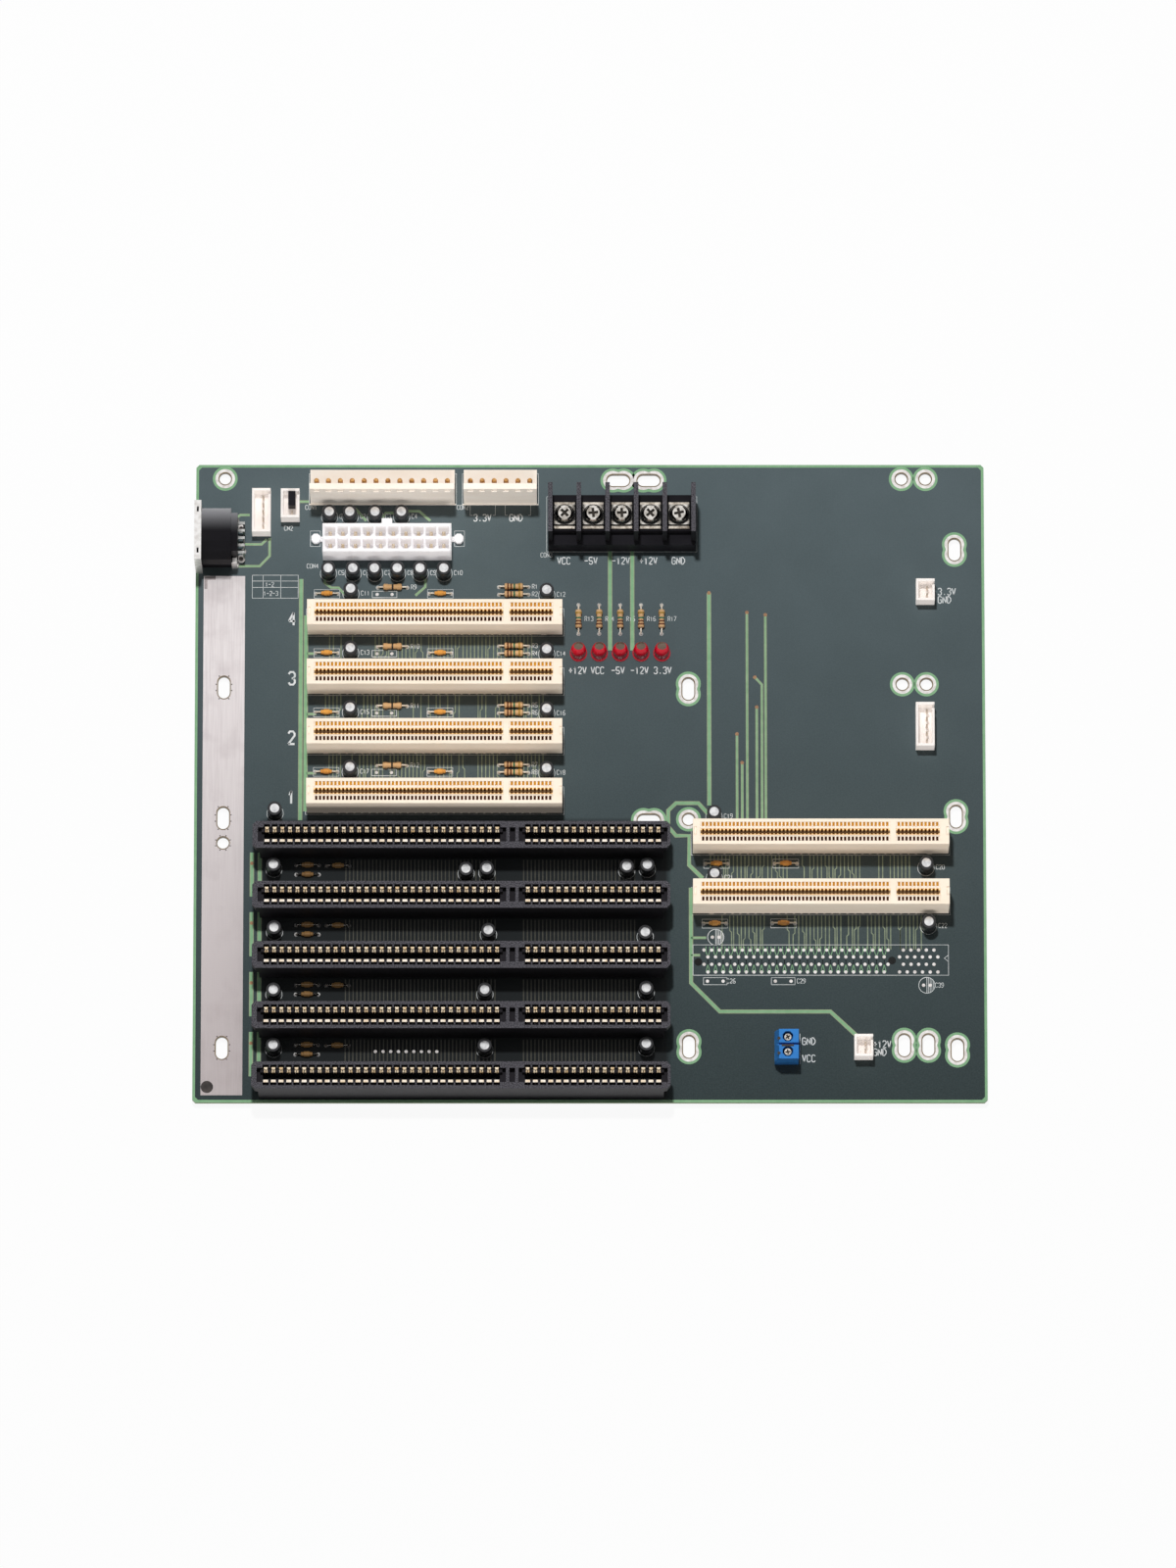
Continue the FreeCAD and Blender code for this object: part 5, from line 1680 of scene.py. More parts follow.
@dataclass
class PowerHeaders(SubAssembly):
    """The twelve-way and six-way power headers: housings, round pins and a small nib for each way."""

    headers: tuple[tuple[str, str], ...] = (  # housings with their pins
        ("twelve_way_header", "twelve_way_pins"),
        ("six_way_header", "six_way_pins"),
    )
    nib: Place = (1.8, 0.55, 1.5)  # size of a nib along X, outwards and in height
    nib_drop: float = 1.8  # top of the nibs below the housing's top
    rim: Point = (0.4, 0.5)  # how far the rim at a housing's foot stands out, and its height
    sides: int = 14  # flats round a pin

    def build(self) -> None:
        """Makes and dresses both headers."""
        for housing, pins in self.headers:
            dress(IVORY, housing)
            self.pins(pins)
            self.nibs(housing, pins)
            self.foot_rim(housing)

    def pins(self, node: str) -> None:
        """Turns the pins with rounded tips in place of the plain ones.

        Args:
            node: CAD node of the pins.
        """
        plain = solids_of(node)[0]
        radius = plain.size.y / 2
        height = plain.size.z
        pin = Workpiece()
        tip = [(radius * math.cos(t), height - radius * (1 - math.sin(t))) for t in (0.0, 0.45, 0.9, 1.3)]
        pin.turned([(radius, 0.0), *tip], self.sides)
        self.stand_in(node, node + "_round", pin, [BRONZE], "contact_gold")

    def nibs(self, housing: str, pins: str) -> None:
        """Sets a nib on the front wall before each pin.

        Args:
            housing: CAD node of the housing.
            pins: CAD node of its pins.
        """
        case = box_of(housing)
        width, depth, height = self.nib
        nib = Workpiece()
        nib.prism(rectangle((-depth, 0.0), (0.0, height)), -width / 2, width / 2, axis=Axis.X)
        level = case.high.z - self.nib_drop - height
        places = [(x, case.low.y, level) for x, _, _ in feet_of(pins)]
        settle(self.shop.copies(housing + "_nibs", nib, [IVORY], places), "ivory_plastic")

    def foot_rim(self, housing: str) -> None:
        """Lays the thin rim along the foot of the front wall.

        Args:
            housing: CAD node of the housing.
        """
        case = box_of(housing)
        reach, height = self.rim
        rim = Workpiece()
        low = (case.low.x - reach, case.low.y - reach, TOP)
        rim.block(low, (case.high.x + reach, case.low.y, TOP + height), corner=0.1)
        settle(rim.piece(housing + "_rim", [IVORY]), "ivory_plastic")


@dataclass
class MainHeader(SubAssembly):
    """The twenty-way power header: housing and pins."""

    point: float = 1.2  # height of a pin's tapered tip

    def build(self) -> None:
        """Makes and dresses the header."""
        dress(MILKY, "main_header")
        pin = square_pin(solids_of("main_header_pins")[0], self.point)
        self.stand_in("main_header_pins", "main_header_square_pins", pin, [PIN_TIN], "contact_gold")


@dataclass
class BarrierStrip(SubAssembly):
    """The five-pole barrier strip: black housing, plates, curled clamp washers and pan-head screws."""

    gauge: float = 0.5  # thickness of a washer
    # painted-shade margin of a plate, bright bar at its front and painted-shade gap behind the bar
    margin: Place = (0.4, 0.85, 0.45)
    lock: Point = (0.5, 0.45)  # how far the painted shadow ring under a screw's head stands out, and its thickness
    turns: tuple[float, ...] = (0.78, 0.1, 0.05, 0.7, 0.2)  # turn of each screw

    def build(self) -> None:
        """Makes and dresses the strip."""
        dress(ROUGH_BLACK, "barrier_strip")
        dress(TERMINAL, "terminal_plates")
        self.washers()
        self.screws()
        self.shades()

    def shades(self) -> None:
        """Paints shade in the gaps round the plates and sets a dark ring of painted shadow under each screw.
        """
        shades = Workpiece()
        side, bar, gap = self.margin
        reach, thickness = self.lock
        for plate, screw in zip(solids_of("terminal_plates"), solids_of("terminal_screws")):
            left, front, _ = plate.low
            right, back, top = plate.high
            spans = (
                (left, front, left + side, back), (right - side, front, right, back),
                (left, back - side, right, back), (left, front + bar, right, front + bar + gap),
            )
            for low_x, low_y, high_x, high_y in spans:
                shades.block((low_x, low_y, top), (high_x, high_y, top + 0.03))
            radius = screw.size.x / 2 + reach
            foot = (screw.centre.x, screw.centre.y, screw.low.z - thickness)
            shades.turned([(radius, 0.0), (radius, thickness)], 24, foot)
        settle(shades.piece("terminal_shades", [PIT]), "black_plastic")

    def washers(self) -> None:
        """Presses the square clamp washers, curled up at both sides and dished in the middle."""
        plain = solids_of("clamp_washers")[0]
        half = plain.size.x / 2
        washer = Workpiece()
        steps = (-1.0, -0.82, -0.55, 0.0, 0.55, 0.82, 1.0)
        lower = [((plain.size.z - self.gauge) * step**4, half * step) for step in steps]
        profile = lower + [(z + self.gauge, x) for z, x in reversed(lower)]
        depth = plain.size.y / 2
        washer.prism(profile[::-1], -depth, depth, axis=Axis.Y)
        self.stand_in("clamp_washers", "curled_washers", washer, [STEEL], "bright_steel")

    def screws(self) -> None:
        """Sets the screws, each left at its own turn."""
        node = "terminal_screws"
        screw = cross_screw(solids_of(node)[0])
        self.stand_in(node, "pan_head_screws", screw, [STEEL, DARK_SLOT], "bright_steel", self.turns)


@dataclass
class KeyboardSocket(SubAssembly):
    """The round keyboard socket at the left edge: body, face plate, terminals, shield tab and pads."""

    pads: tuple[Point, ...] = ((-116.4, 86.8), (-116.4, 76.4))  # middles of the open pads behind the socket
    pad: Point = (1.4, 0.75)  # outer and inner radius of such a pad
    # middles of the drops of solder beside the socket
    drops: tuple[Point, ...] = ((-118.0, 89.5), (-118.0, 74.2), (-115.6, 78.9))
    # lowest and highest corner of the shield tab in front of the body
    tab: tuple[Place, Place] = ((-119.35, 72.9, 3.4), (-117.6, 74.95, 12.0))

    def build(self) -> None:
        """Makes and dresses the socket."""
        dress(SOCKET_BLACK, "keyboard_socket")
        dress(PLATE, "socket_face_plate")
        dress(SOLDER, "socket_terminals")
        tab = Workpiece()
        tab.block(*self.tab, corner=0.3)
        settle(tab.piece("shield_tab", [PLATE]), "bright_steel")
        joints = Workpiece()
        outer, inner = self.pad
        for x, y in self.pads:
            joints.band(circle(outer, 20, (x, y)), circle(inner, 20, (x, y)), TOP, TOP + 0.08)
            joints.turned([(inner, 0.0), (inner, 0.04)], 20, (x, y, TOP), 1)
        for x, y in self.drops:
            joints.turned([(1.1, 0.0), (0.95, 0.3), (0.6, 0.6), (0.2, 0.75)], 14, (x, y, TOP))
        settle(joints.piece("socket_joints", [TIN, SCUFF]), "solder")


@dataclass
class ShroudedHeaders(SubAssembly):
    """The small white shrouded headers, their square pins and the jumper cap."""

    names: tuple[str, ...] = (
        "left_five_way", "three_way", "upper_two_way", "right_five_way", "lower_two_way",
    )
    point: float = 0.8  # height of a pin's tapered tip

    def build(self) -> None:
        """Makes and dresses the headers and the cap."""
        for name in self.names:
            dress(WHITE, f"{name}_header")
            node = f"{name}_pins"
            pin = square_pin(solids_of(node)[0], self.point)
            self.stand_in(node, node + "_square", pin, [WIRE], "contact_gold")
        dress(BLACK, "jumper_cap")


@dataclass
class WireTerminal(SubAssembly):
    """The blue two-pole wire terminal and its clamp screws."""

    # middles of the two dark sight holes in the top
    sights: tuple[Point, ...] = ((62.4, -89.1), (62.4, -94.1))
    # lower left and upper right corner of the dark seam in the top
    seam: tuple[Point, Point] = ((63.3, -91.85), (67.3, -91.15))
    turns: Point = (0.5, 0.15)  # turn of each screw

    def build(self) -> None:
        """Makes and dresses the terminal."""
        dress(BLUE, "wire_terminal")
        roof = box_of("wire_terminal").high.z
        marks = Workpiece()
        for x, y in self.sights:
            marks.turned([(0.55, 0.0), (0.55, 0.02)], 14, (x, y, roof))
        marks.prism(rectangle(*self.seam), roof, roof + 0.02)
        settle(marks.piece("wire_terminal_openings", [DARK_SLOT]), "blue_plastic")
        node = "wire_terminal_screws"
        screw = cross_screw(solids_of(node)[0])
        self.stand_in(node, "clamp_screws", screw, [STEEL, DARK_SLOT], "bright_steel", self.turns)


@dataclass
class Lamps(SubAssembly):
    """The five red lamps on their wire legs."""

    count: int = 5
    radius: float = 2.5  # radius of the lens
    rim: Point = (2.9, 1.0)  # radius and height of the rim at the lens's foot
    lift: float = 2.9  # height of the rim above the board
    leg: float = 0.25  # half width of a wire leg
    spread: float = 1.27  # distance of a leg from the lamp's middle
    sides: int = 24  # flats round the lens
    glint: Point = (1.55, 0.35)  # radius of the dark glint on the lens, and its tilt to the back

    def build(self) -> None:
        """Makes the lamps in place of the plain ones."""
        nodes = [f"lamp_{index + 1}" for index in range(self.count)]
        boxes = [box_of(node) for node in nodes]
        height = boxes[0].high.z - TOP - self.lift
        shoulder = height - self.radius
        dome = [
            (self.radius * math.cos(turn), shoulder + self.radius * math.sin(turn))
            for turn in (0.0, 0.3, 0.6, 0.9, 1.15, 1.4)
        ]
        lens = [(self.rim[0], 0.0), (self.rim[0], self.rim[1]), (self.radius, self.rim[1] + 0.05), *dome]
        lamp = Workpiece()
        lamp.turned([(r, z + self.lift) for r, z in lens], self.sides)
        for side in (-1, 1):
            x = side * self.spread
            low = (x - self.leg, -self.leg, 0.0)
            lamp.block(low, (x + self.leg, self.leg, self.lift), 1)
        width, tilt = self.glint
        over = self.radius + 0.1
        cap = Workpiece()
        radii = [width * share for share in (1.0, 0.8, 0.6, 0.4, 0.2, 0.04)]
        cap.turned([(radius, math.sqrt(over**2 - radius**2)) for radius in radii], 16, finish=2)
        seat = Matrix.Translation((0.0, 0.0, self.lift + shoulder))
        lamp.join(cap, seat @ Matrix.Rotation(-tilt, 4, "X"))
        places = [(box.centre.x, box.centre.y, TOP) for box in boxes]
        piece = self.shop.copies("red_lamps", lamp, [LENS, WIRE, GLINT], places)
        piece.visible_shadow = False
        settle(piece, "lamp_red", *nodes)


@dataclass(frozen=True)
class AxialKind:
    """A kind of axial part: a bulged body with painted rings between two bent leads."""

    nodes: tuple[str, ...]
    coat: Finish
    rings: tuple[tuple[float, Finish], ...]  # place along the body, from -1 to 1, and finish of each ring
    slot: str  # material slot of the record
    bulge: Point  # radius at the ends and in the middle, as shares of the largest
    wire: Finish = WIRE  # finish of the leads


@dataclass
class AxialParts(SubAssembly):
    """The resistors and axial capacitors, lying on the board between their leads."""

    sides: int = 14  # flats round a body
    wire: float = 0.27  # radius of a lead
    reach: float = 1.8  # how far a lead runs out before it bends down
    ring: float = 0.09  # half width of a painted ring, as a share of half the body
    # radius and height of the solder at a lead's foot, from below
    joint: tuple[Point, ...] = ((0.7, 0.0), (0.62, 0.12), (0.3, 0.6))
    kinds: tuple[AxialKind, ...] = (
        AxialKind(
            ("lamp_resistors", "pair_resistors"), TAN,
            ((-0.62, BROWN_BAND), (-0.28, BROWN_BAND), (0.06, GREEN_BAND), (0.6, GOLD_BAND)),
            "resistor_tan", (1.0, 0.82),
        ),
        AxialKind(("link_resistors",), TAN, ((0.0, DARK_BAND),), "resistor_tan", (1.0, 0.82)),
        AxialKind(("upper_beads", "right_beads"), ORANGE, (), "bead_orange", (0.72, 1.0)),
        # Beads between the long slots: their darker coat and dull steel leads are painted shade.
        AxialKind(("lower_beads",), SHADED_ORANGE, (), "bead_orange", (0.72, 1.0), STEEL),
    )

    def build(self) -> None:
        """Makes every kind in place of the plain rods."""
        for kind in self.kinds:
            solids = solids_of(*kind.nodes)
            places = [tuple(solid.centre) for solid in solids]
            turns = [math.pi / 2 if solid.size.y > solid.size.x else 0.0 for solid in solids]
            first = solids[0]
            length = max(first.size.x, first.size.y)
            body = self.body(kind, length / 2, first.size.z / 2, first.centre.z - TOP)
            finishes = [kind.coat, kind.wire, SOLDER_DOT] + [finish for _, finish in kind.rings]
            name = kind.nodes[0] + "_bodies"
            settle(self.shop.copies(name, body, finishes, places, turns), kind.slot, *kind.nodes)

    def body(self, kind: AxialKind, half: float, radius: float, height: float) -> Workpiece:
        """Draws one part along X about its own middle.

        Args:
            kind: What it is.
            half: Half of the body's length.
            radius: Largest radius of the body.
            height: Height of the body's middle above the board.

        Returns:
            The part.
        """
        part = Workpiece()
        end, middle = kind.bulge
        steps = [(-1.0, end * 0.55), (-0.94, end * 0.9), (-0.8, end), (-0.58, end), (-0.42, middle)]
        steps += [(-place, share) for place, share in reversed(steps)]
        part.turned([(radius * share, half * place) for place, share in steps], self.sides, axis=Axis.X)
        for index, (place, _) in enumerate(kind.rings):
            share = end if abs(place) > 0.5 else middle
            outer = radius * share + 0.03
            ends = [(outer, half * (place + shift)) for shift in (-self.ring, self.ring)]
            part.turned(ends, self.sides, finish=3 + index, axis=Axis.X)
        for side in (-1, 1):
            self.lead(part, side, half, height)
        return part

    def lead(self, part: Workpiece, side: int, half: float, height: float) -> None:
        """Bends one lead out of the body's end and down into the board.

        Args:
            part: The part that gets the lead.
            side: -1 or 1, the end of the body.
            half: Half of the body's length.
            height: Height of the body's middle above the board.
        """
        out = half + self.reach
        cut = self.wire * 1.2
        path = [(half - 0.1, 0.0), (out - cut, 0.0), (out, -cut), (out, -height)]
        section = circle(self.wire, 6)
        rows = []
        for index, (x, z) in enumerate(path):
            before = path[max(index - 1, 0)]
            after = path[min(index + 1, len(path) - 1)]
            lean = math.atan2(after[1] - before[1], after[0] - before[0])
            rows.append([(side * (x - v * math.sin(lean)), u, z + v * math.cos(lean)) for u, v in section])
        part.skin(rows, 1, flipped=side < 0)
        cone = [(radius, rise - height) for radius, rise in self.joint]
        part.turned(cone, 8, (side * out, 0.0, 0.0), 2)


CAN_NODES = ("header_cans", "upper_cans", "lower_cans", "right_cans")


@dataclass
class Cans(SubAssembly):
    """The small electrolytic capacitors: shrunk sleeve, rolled groove and aluminium top."""

    sides: int = 20  # flats round a can
    groove: float = 0.22  # depth of the rolled groove
    sleeve_edge: float = 0.85  # width of the sleeve's edge on top

    def build(self) -> None:
        """Makes the cans in place of the plain ones."""
        solids = solids_of(*CAN_NODES)
        radius = solids[0].size.y / 2
        height = solids[0].high.z - TOP
        can = Workpiece()
        sleeve = [
            (radius * 0.9, 0.25), (radius, 0.5), (radius, 1.1), (radius - self.groove, 1.5), (radius, 1.9),
            (radius, height - 0.4), (radius - 0.12, height - 0.16), (radius - self.sleeve_edge, height - 0.1),
        ]
        can.turned(sleeve, self.sides)
        top = radius - self.sleeve_edge
        can.turned([(top, height - 0.2), (top, height - 0.06), (top - 0.15, height)], self.sides, finish=1)
        places = [(solid.centre.x, solid.centre.y, TOP) for solid in solids]
        piece = self.shop.copies("capacitor_cans", can, [SLEEVE, ALUMINIUM], places, loose=math.pi)
        settle(piece, "can_sleeve", *CAN_NODES)


def parted(route: Route, sharp: float = 1.0) -> list[Route]:
    """Parts a route at its sharp corners, because a ribbon grows thin round them.

    Args:
        route: The route.
        sharp: Largest turn, in radians, that stays in one part.

    Returns:
        The parts, each ending where the next one starts.
    """
    parts = [[route[0]]]
    for before, here, after in zip(route, route[1:], route[2:]):
        parts[-1].append(here)
        turn = math.atan2(after[1] - here[1], after[0] - here[0])
        turn -= math.atan2(here[1] - before[1], here[0] - before[0])
        if abs(math.remainder(turn, math.tau)) > sharp:
            parts.append([here])
    parts[-1].append(route[-1])
    return parts


Label = tuple[str, float, float]  # a text with X and Y of its lower left corner


class Lettering(Enum):
    """Height and stroke width of the printed letters."""

    LARGE = (4.3, 0.7)
    MIDDLE = (2.3, 0.33)
    SMALL = (1.5, 0.18)


@dataclass(frozen=True)
class StrokeFont:
    """Plain stroke letters on a grid four wide and six high.

    Each letter is a text of strokes parted by commas, and each stroke a row of points, column then line.
    """

    high: int = 6  # lines of the grid
    step: float = 5.6  # columns from one letter to the next
    narrow: float = 0.72  # width of a column as a share of the height of a line

    def strokes(self, letter: str) -> list[list[tuple[int, int]]]:
        """The strokes of one letter.

        Args:
            letter: The letter.

        Returns:
            Grid points of each stroke.
        """
        letters = {
            "0": "10 30 41 45 36 16 05 01 10", "1": "14 26 20", "2": "05 16 36 45 44 00 40",
            "3": "05 16 36 45 44 33 23,33 42 41 30 10 01", "4": "30 36 02 42",
            "5": "46 06 03 33 42 41 30 10 01", "6": "46 26 04 01 10 30 41 42 33 13 02", "7": "06 46 10",
            "8": "13 04 05 16 36 45 44 33 13 02 01 10 30 41 42 33", "9": "00 20 42 45 36 16 05 04 13 33 44",
            "V": "06 20 46", "G": "45 36 16 05 01 10 30 41 43 23", "N": "00 06 40 46",
            "D": "00 06 26 44 42 20 00", "C": "45 36 16 05 01 10 30 41", "R": "00 06 36 45 44 33 03,23 40",
            "+": "03 43,21 25", "-": "03 43", ".": "20 21", "O": "10 30 41 45 36 16 05 01 10",
        }
        strokes = [stroke.split() for stroke in letters[letter].split(",")]
        return [[(int(column), int(line)) for column, line in stroke] for stroke in strokes]

    def routes(self, label: Label, height: float) -> list[Route]:
        """Routes of a line of text.

        Args:
            label: The text and its place.
            height: Height of the letters.

        Returns:
            One route for each stroke.
        """
        text, left, base = label
        unit = height / self.high
        routes = []
        for index, letter in enumerate(text):
            for stroke in self.strokes(letter):
                columns = [index * self.step + column for column, _ in stroke]
                across = [left + column * unit * self.narrow for column in columns]
                routes += parted([(x, base + line * unit) for x, (_, line) in zip(across, stroke)])
        return routes


def frame_route(low: Point, high: Point) -> Route:
    """A closed rectangular route."""
    corners = rectangle(low, high)
    return corners + corners[:1]


def ring_route(radius: float, centre: Point, sides: int = 20) -> Route:
    """A closed round route."""
    points = circle(radius, sides, centre)
    return points + points[:1]


@dataclass
class Printing(SubAssembly):
    """The white printing on the board: generic ratings, plain numbers and outlines round the parts."""

    level: float = 0.04  # thickness of the ink
    line: float = 0.15  # width of outlines
    font: StrokeFont = StrokeFont()
    can_ring: float = 2.75  # radius of the ring round a can
    ratings: tuple[Label, ...] = (  # the ratings, in letters of middle height
        ("VCC", -10.8, 74.6), ("-5V", -1.8, 74.6), ("-12V", 7.4, 74.6), ("+12V", 16.6, 74.6),
        ("GND", 27.4, 74.6), ("3.3V", -38.8, 89.4), ("GND", -26.8, 89.4), ("3.3V", 116.1, 64.0),
        ("GND", 116.1, 61.2), ("GND", 70.3, -89.2), ("VCC", 70.3, -95.0), ("+12V", 93.8, -90.2),
        ("GND", 93.8, -92.9), ("+12V", -7.0, 37.0), ("VCC", 0.4, 37.0), ("-5V", 7.2, 37.0),
        ("-12V", 13.6, 37.0), ("3.3V", 21.3, 37.0),
    )
    labels: tuple[Label, ...] = (  # the connectors' and parts' labels, in small letters
        ("CON1", -95.0, 93.4), ("CON2", -44.4, 93.4), ("CON3", -16.4, 77.0), ("CON4", -94.4, 73.2),
        ("CN2", -102.0, 86.2), ("1-2", -108.2, 66.9), ("1-2-3", -108.8, 63.8), ("C26", 45.4, -68.4),
        ("C29", 68.6, -68.4), ("C39", 114.4, -69.8),
    )

    def build(self) -> None:
        """Prints everything."""
        self.letters()
        self.outlines()

    def letters(self) -> None:
        """Prints the ratings, the slot numbers and the part numbers, each height in its own stroke."""
        slots = [(str(number), box_of(f"short_slot_{number}")) for number in range(1, 5)]
        texts = {
            Lettering.LARGE: [(text, slot.low.x - 6.3, slot.centre.y - 1.0) for text, slot in slots],
            Lettering.MIDDLE: list(self.ratings),
            Lettering.SMALL: list(self.labels),
        }
        numbered = (("C", ("header_cans", "upper_cans", "right_cans")),
                    ("R", ("pair_resistors", "link_resistors", "lamp_resistors")))
        for prefix, nodes in numbered:
            for number, solid in enumerate(solids_of(*nodes), 1):
                gap = 1.0 if solid.size.x < 1.2 * solid.size.y else 3.0
                label = (f"{prefix}{number}", solid.high.x + gap, solid.centre.y - 0.5)
                texts[Lettering.SMALL].append(label)
        for size, labels in texts.items():
            height, width = size.value
            routes = [route for label in labels for route in self.font.routes(label, height)]
            piece = self.shop.ribbons(f"printed_{size.name.lower()}_letters", routes, width, self.level, INK)
            settle(piece, "white_plastic")

    def outlines(self) -> None:
        """Prints rings round the cans, boxes round the beads and lines round the connectors."""
        routes: list[Route] = []
        for can in solids_of(*CAN_NODES):
            routes.append(ring_route(self.can_ring, (can.centre.x, can.centre.y)))
        for bead in solids_of("upper_beads", "right_beads"):
            low = (bead.low.x - 2.3, bead.centre.y - 1.5)
            routes.append(frame_route(low, (bead.high.x + 2.3, bead.centre.y + 1.5)))
        routes.append([(69.5, -85.5), (69.5, -95.8)])
        routes += [frame_route((x, 80.7), (x + 3.3, 86.0)) for x in (-93.3, -45.2)]
        cases = ShortSlots(self.shop).nodes() + ["barrier_strip", "twelve_way_header", "six_way_header"]
        for node in cases:
            case = box_of(node)
            low = (case.low.x - 0.5, case.low.y - 0.4)
            routes.append(frame_route(low, (case.high.x + 0.5, case.high.y + 0.4)))
        for left, right in ((-40.0, -31.6), (-28.3, -19.8)):
            routes.append([(left, 95.0), (left, 91.4), (left + 0.8, 91.4)])
            routes.append([(right, 95.0), (right, 91.4), (right - 0.8, 91.4)])
        routes += self.table()
        settle(self.shop.ribbons("printed_outlines", routes, self.line, self.level, INK), "white_plastic")

    def table(self) -> list[Route]:
        """Lines of the small printed table beside the ground strip.

        Returns:
            Upright lines, then level ones.
        """
        columns = (-112.6, -109.0, -103.1, -97.3)
        lines = (70.8, 68.8, 66.6, 62.9)
        routes = [[(x, lines[0]), (x, lines[-1])] for x in columns]
        return routes + [[(columns[0], y), (columns[-1], y)] for y in lines]


@dataclass
class EmptySlotPlace(SubAssembly):
    """The unused slot place at the lower right: its pads, outline, locating marks and spare part places."""

    low: Point = (34.15, -65.7)  # lower left corner of the outline
    high: Point = (118.8, -55.4)  # upper right corner of the outline
    rows: tuple[float, ...] = (-57.15, -59.5, -62.0, -64.6)  # Y of the four pad rows
    first: float = 37.8  # X of the first pad
    pitch: float = 2.54
    # pads of each row in the long block and in the short one
    counts: tuple[tuple[int, int], ...] = ((25, 5), (24, 6), (25, 5), (24, 6))
    key: float = 66.04  # X from the first pad to the short block's first pad
    marks: tuple[Point, ...] = ((35.9, -61.2), (100.1, -60.7))  # middles of the locating marks
    pad: Point = (0.58, 0.28)  # outer and inner radius of a pad
    spare_beads: tuple[Point, ...] = ((41.5, -67.7), (64.0, -67.7))  # middles of the spare axial places
    spare_cans: tuple[Point, ...] = ((41.7, -52.8), (111.6, -69.1))  # middles of the spare can places
    # middles of the spare places between the short slots
    spare_links: tuple[Point, ...] = tuple((-68.5, 64.2 - SLOT_STEP * index) for index in range(4))
    ink_level: float = 0.04  # thickness of the ink

    def build(self) -> None:
        """Makes the place."""
        self.pads()
        self.outline()
        self.links()

    def places(self) -> list[Point]:
        """Middles of all pads of the place.

        Returns:
            The points, row by row.
        """
        places = []
        for index, (y, (long, short)) in enumerate(zip(self.rows, self.counts)):
            shift = self.pitch / 2 * (index % 2)
            places += [(self.first + shift + self.pitch * i, y) for i in range(long)]
            places += [(self.first + self.key - shift + self.pitch * i, y) for i in range(short)]
        return places

    def pads(self) -> None:
        """Sets the tinned pads and the dark locating marks."""
        outer, inner = self.pad
        pad = Workpiece()
        pad.turned([(outer, 0.0), (outer, 0.06), (inner + 0.15, 0.1), (inner, 0.07)], 12)
        spots = self.places() + [(-71.0 + self.pitch * i, -91.5) for i in range(9)]
        for middles, left, right in (
            (self.spare_beads, -2.6, 2.6), (self.spare_cans, -1.1, 1.1), (self.spare_links, -2.45, 2.5),
        ):
            spots += [(x + shift, y) for x, y in middles for shift in (left, right)]
        piece = self.shop.copies("bare_pads", pad, [TIN], [(x, y, TOP) for x, y in spots], loose=math.pi)
        settle(piece, "solder")
        mark = Workpiece()
        for x, y in self.marks:
            mark.turned([(1.3, 0.0), (1.3, 0.07), (1.1, 0.06)], 20, (x, y, TOP))
        settle(mark.piece("locating_marks", [PIT]), "black_plastic")

    def links(self) -> None:
        """Draws the zigzag lines that pass between the pads."""
        upper, second, third, lower = self.rows
        step = self.pitch / 4
        routes = []
        for i in range(2 * (self.counts[0][0] - 1)):
            x = self.first + step + self.pitch / 2 * i
            side = x + step * (-1) ** i
            routes.append([(x, upper + 1.2), (x, upper - 0.5), (side, second), (side, third), (x, lower)])
        settle(self.shop.ribbons("pad_links", routes, 0.22, 0.03, LAMINATE), "solder_mask")

    def outline(self) -> None:
        """Prints the outline of the place, its arrow and the spare parts' outlines."""
        routes = [frame_route(self.low, self.high)]
        tip = (self.low[1] + self.high[1]) / 2 + 0.6
        routes.append([(self.high[0], tip + 1.1), (self.high[0] - 1.4, tip), (self.high[0], tip - 1.1)])
        for x, y in self.spare_beads:
            routes.append(frame_route((x - 3.9, y - 1.2), (x + 3.9, y + 1.2)))
        for centre in self.spare_cans:
            routes.append(ring_route(2.7, centre))
            for hatch in (0.0, 0.55, 1.1, 1.65, 2.2):
                x = centre[0] + hatch
                reach = math.sqrt(2.6**2 - hatch**2)
                routes.append([(x, centre[1] - reach), (x, centre[1] + reach)])
        for x, y in self.spare_links:
            routes.append(frame_route((x - 4.1, y - 1.1), (x + 4.1, y + 1.1)))
        settle(self.shop.ribbons("spare_place_outlines", routes, 0.2, self.ink_level, INK), "white_plastic")


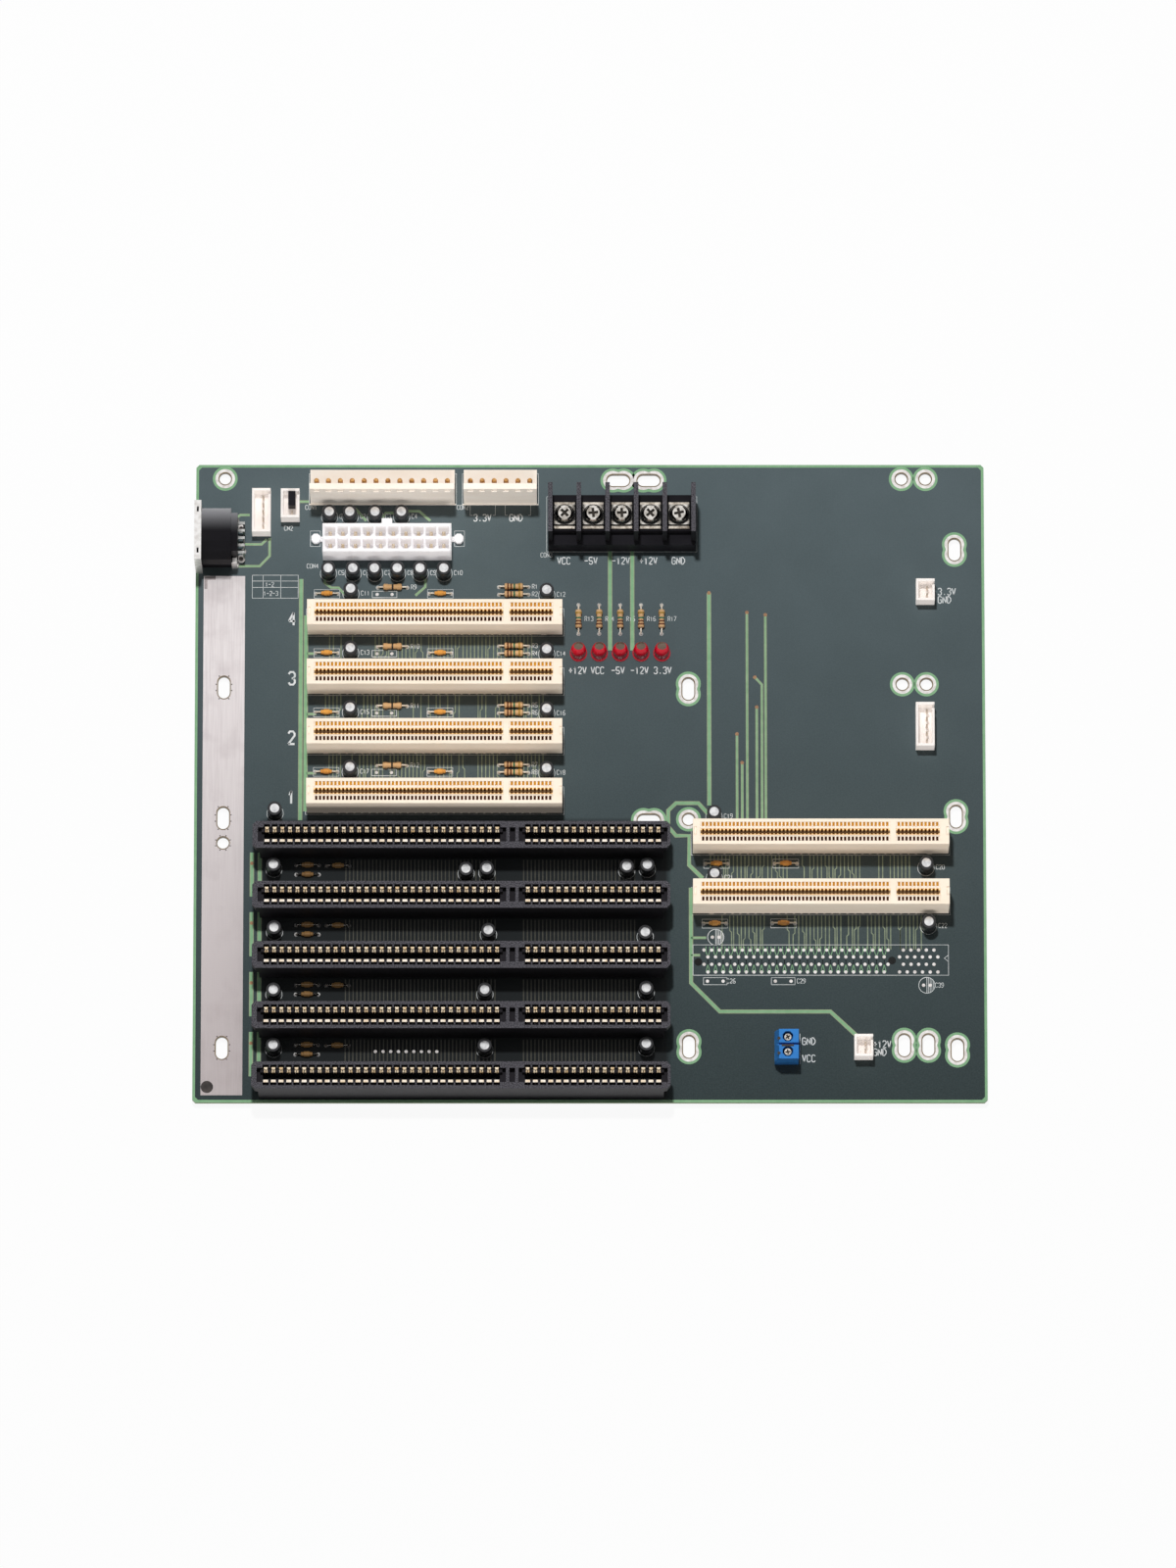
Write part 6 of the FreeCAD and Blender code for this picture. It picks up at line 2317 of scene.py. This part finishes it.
@dataclass
class SolderSide(SubAssembly):
    """The underside: a fillet and a clipped lead at every hole."""

    # Y of a short slot's four staggered rows, from its middle
    short_rows: tuple[float, ...] = (3.75, 1.25, -1.25, -3.75)
    long_rows: tuple[float, ...] = (2.54, -2.54)  # Y of a long slot's two rows, from its middle
    sides: int = 8  # flats round a fillet

    def build(self) -> None:
        """Solders every lead."""
        joints = solids_of("solder_joints")
        drop = joints[0].size.z
        places = [(joint.centre.x, joint.centre.y, UNDERSIDE) for joint in joints]
        piece = self.shop.copies("solder_fillets", self.fillet(0.95, drop), [SOLDER], places, loose=math.pi)
        settle(piece, "solder", "solder_joints")
        slender = self.fillet(0.62, drop)
        rows = self.slot_places()
        piece = self.shop.copies("slot_fillets", slender, [SOLDER], rows, loose=math.pi, shrink=0.12)
        settle(piece, "solder")

    def fillet(self, radius: float, drop: float) -> Workpiece:
        """Draws one joint, hanging from the origin.

        Args:
            radius: Radius of the solder on the board.
            drop: Length of the clipped lead.

        Returns:
            The joint.
        """
        joint = Workpiece()
        lead = radius * 0.34
        clipped = [(lead * 0.7, -drop), (lead, -drop * 0.92), (lead * 1.15, -drop * 0.6)]
        joint.turned([*clipped, (radius * 0.6, -drop * 0.3), (radius, 0.0)], self.sides)
        return joint

    def slot_places(self) -> list[Place]:
        """Places of all the card slots' leads.

        Returns:
            The places on the underside, slot by slot.
        """
        places = []
        families = ((ShortSlots(self.shop), self.short_rows, 2), (LongSlots(self.shop), self.long_rows, 1))
        for slots, rows, step in families:
            for x, y, _ in slots.tops():
                for index, row in enumerate(rows):
                    for start, count in slots.starts():
                        numbers = range(index % step, count, step)
                        lefts = [x + start + slots.pitch * i for i in numbers]
                        places += [(left, y + row, UNDERSIDE) for left in lefts]
        return places


@dataclass
class Lamp:
    """A soft box that looks at the middle of the board."""

    name: str
    place: Place
    side: float  # side of its square face
    power: float  # power in watts
    mirrored: bool = True  # whether it shows in shiny surfaces
    only: tuple[Finish, ...] = ()  # finishes that it lights, none for all

    def build(self) -> None:
        """Makes the lamp."""
        data = bpy.data.lights.new(self.name, "AREA")
        data.size = self.side * MM
        data.energy = self.power
        lamp = bpy.data.objects.new(self.name, data)
        bpy.context.scene.collection.objects.link(lamp)
        lamp.location = Vector(self.place) * MM
        lamp.visible_glossy = self.mirrored
        lamp.rotation_euler = (-Vector(self.place)).to_track_quat("-Z", "Y").to_euler()
        if self.only:
            finishes = {finish.material() for finish in self.only}
            lit = bpy.data.collections.new(self.name + "_lit")
            for thing in bpy.context.scene.objects:
                if thing.type == "MESH" and finishes.intersection(thing.data.materials):
                    lit.objects.link(thing)
            lamp.light_linking.receiver_collection = lit


@dataclass
class Studio:
    """The floor, the light and the camera."""

    image: tuple[int, int] = (1200, 1600)  # width and height of the picture in pixels
    scale: float = 3.07  # pixels to a millimetre at the board
    middle: tuple[float, float] = (602.0, 798.0)  # pixel at which the board's middle is seen
    distance: float = 4500.0  # camera's distance from the board
    elevation: float = math.radians(77.0)  # camera's angle above the board
    sensor: float = 36.0  # long side of the camera's sensor
    floor_side: float = 9000.0
    ambience: float = 0.07  # strength of the light from all round
    lamps: tuple[Lamp, ...] = (
        Lamp("key_box", (-90.0, 470.0, 1750.0), 90.0, 26.0, False),
        Lamp("fill_box", (0.0, -1700.0, 700.0), 1200.0, 3.0, False),
        Lamp("front_box", (0.0, -1300.0, 1170.0), 600.0, 18.0, False, (CREAM, IVORY, WHITE, MILKY, AMBER)),
    )

    def build(self) -> None:
        """Makes the whole studio."""
        self.floor()
        self.world()
        for lamp in self.lamps:
            lamp.build()
        self.camera()
        bpy.context.scene.view_settings.view_transform = "Standard"

    def floor(self) -> None:
        """Lays the floor that the board stands on."""
        floor = Workpiece()
        half = self.floor_side / 2
        floor.add([(x, y, 0.0) for x, y in rectangle((-half, -half), (half, half))], [(0, 1, 2, 3)])
        floor.piece("studio_floor", [PAPER])

    def world(self) -> None:
        """Sets an even light all round, which the camera and mirrors see as white."""
        world = bpy.data.worlds.new("studio_air")
        world.use_nodes = True
        air = NodeSketch(world.node_tree)
        light = air.tree.nodes["Background"].inputs
        strength = {"Value": air.seen(), "To Min": self.ambience, "To Max": 1.0}
        air.feed(light["Strength"], air.out("ShaderNodeMapRange", strength))
        air.feed(light["Color"], (1.0, 1.0, 1.0, 1.0))
        bpy.context.scene.world = world

    def camera(self) -> None:
        """Stands the camera in front of the board, high above it."""
        data = bpy.data.cameras.new("camera")
        data.sensor_width = self.sensor
        data.lens = self.distance * self.scale * self.sensor / self.image[1]
        data.clip_end = self.floor_side * MM
        camera = bpy.data.objects.new("camera", data)
        bpy.context.scene.collection.objects.link(camera)
        aside = (self.image[0] / 2 - self.middle[0]) / self.scale
        ahead = (self.middle[1] - self.image[1] / 2) / self.scale / math.sin(self.elevation)
        aim = Vector((aside, ahead, TOP))
        back = Vector((0.0, -math.cos(self.elevation), math.sin(self.elevation)))
        camera.location = (aim + back * self.distance) * MM
        camera.rotation_euler = (-back).to_track_quat("-Z", "Y").to_euler()
        bpy.context.scene.camera = camera


def write_sizes() -> None:
    """Updates the view layer."""
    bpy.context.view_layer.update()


def main() -> None:
    """Builds the sub-assemblies in order, then the studio."""
    logging.basicConfig(level=logging.INFO, format="%(message)s")
    shop = Workshop()
    assemblies = (
        Board, ShortSlots, LongSlots, PowerHeaders, MainHeader, BarrierStrip, KeyboardSocket, ShroudedHeaders,
        WireTerminal, Lamps, AxialParts, Cans, Printing, EmptySlotPlace, SolderSide,
    )
    for assembly in assemblies:
        assembly(shop).build()
    Studio().build()
    write_sizes()


if __name__ == "__main__":
    main()
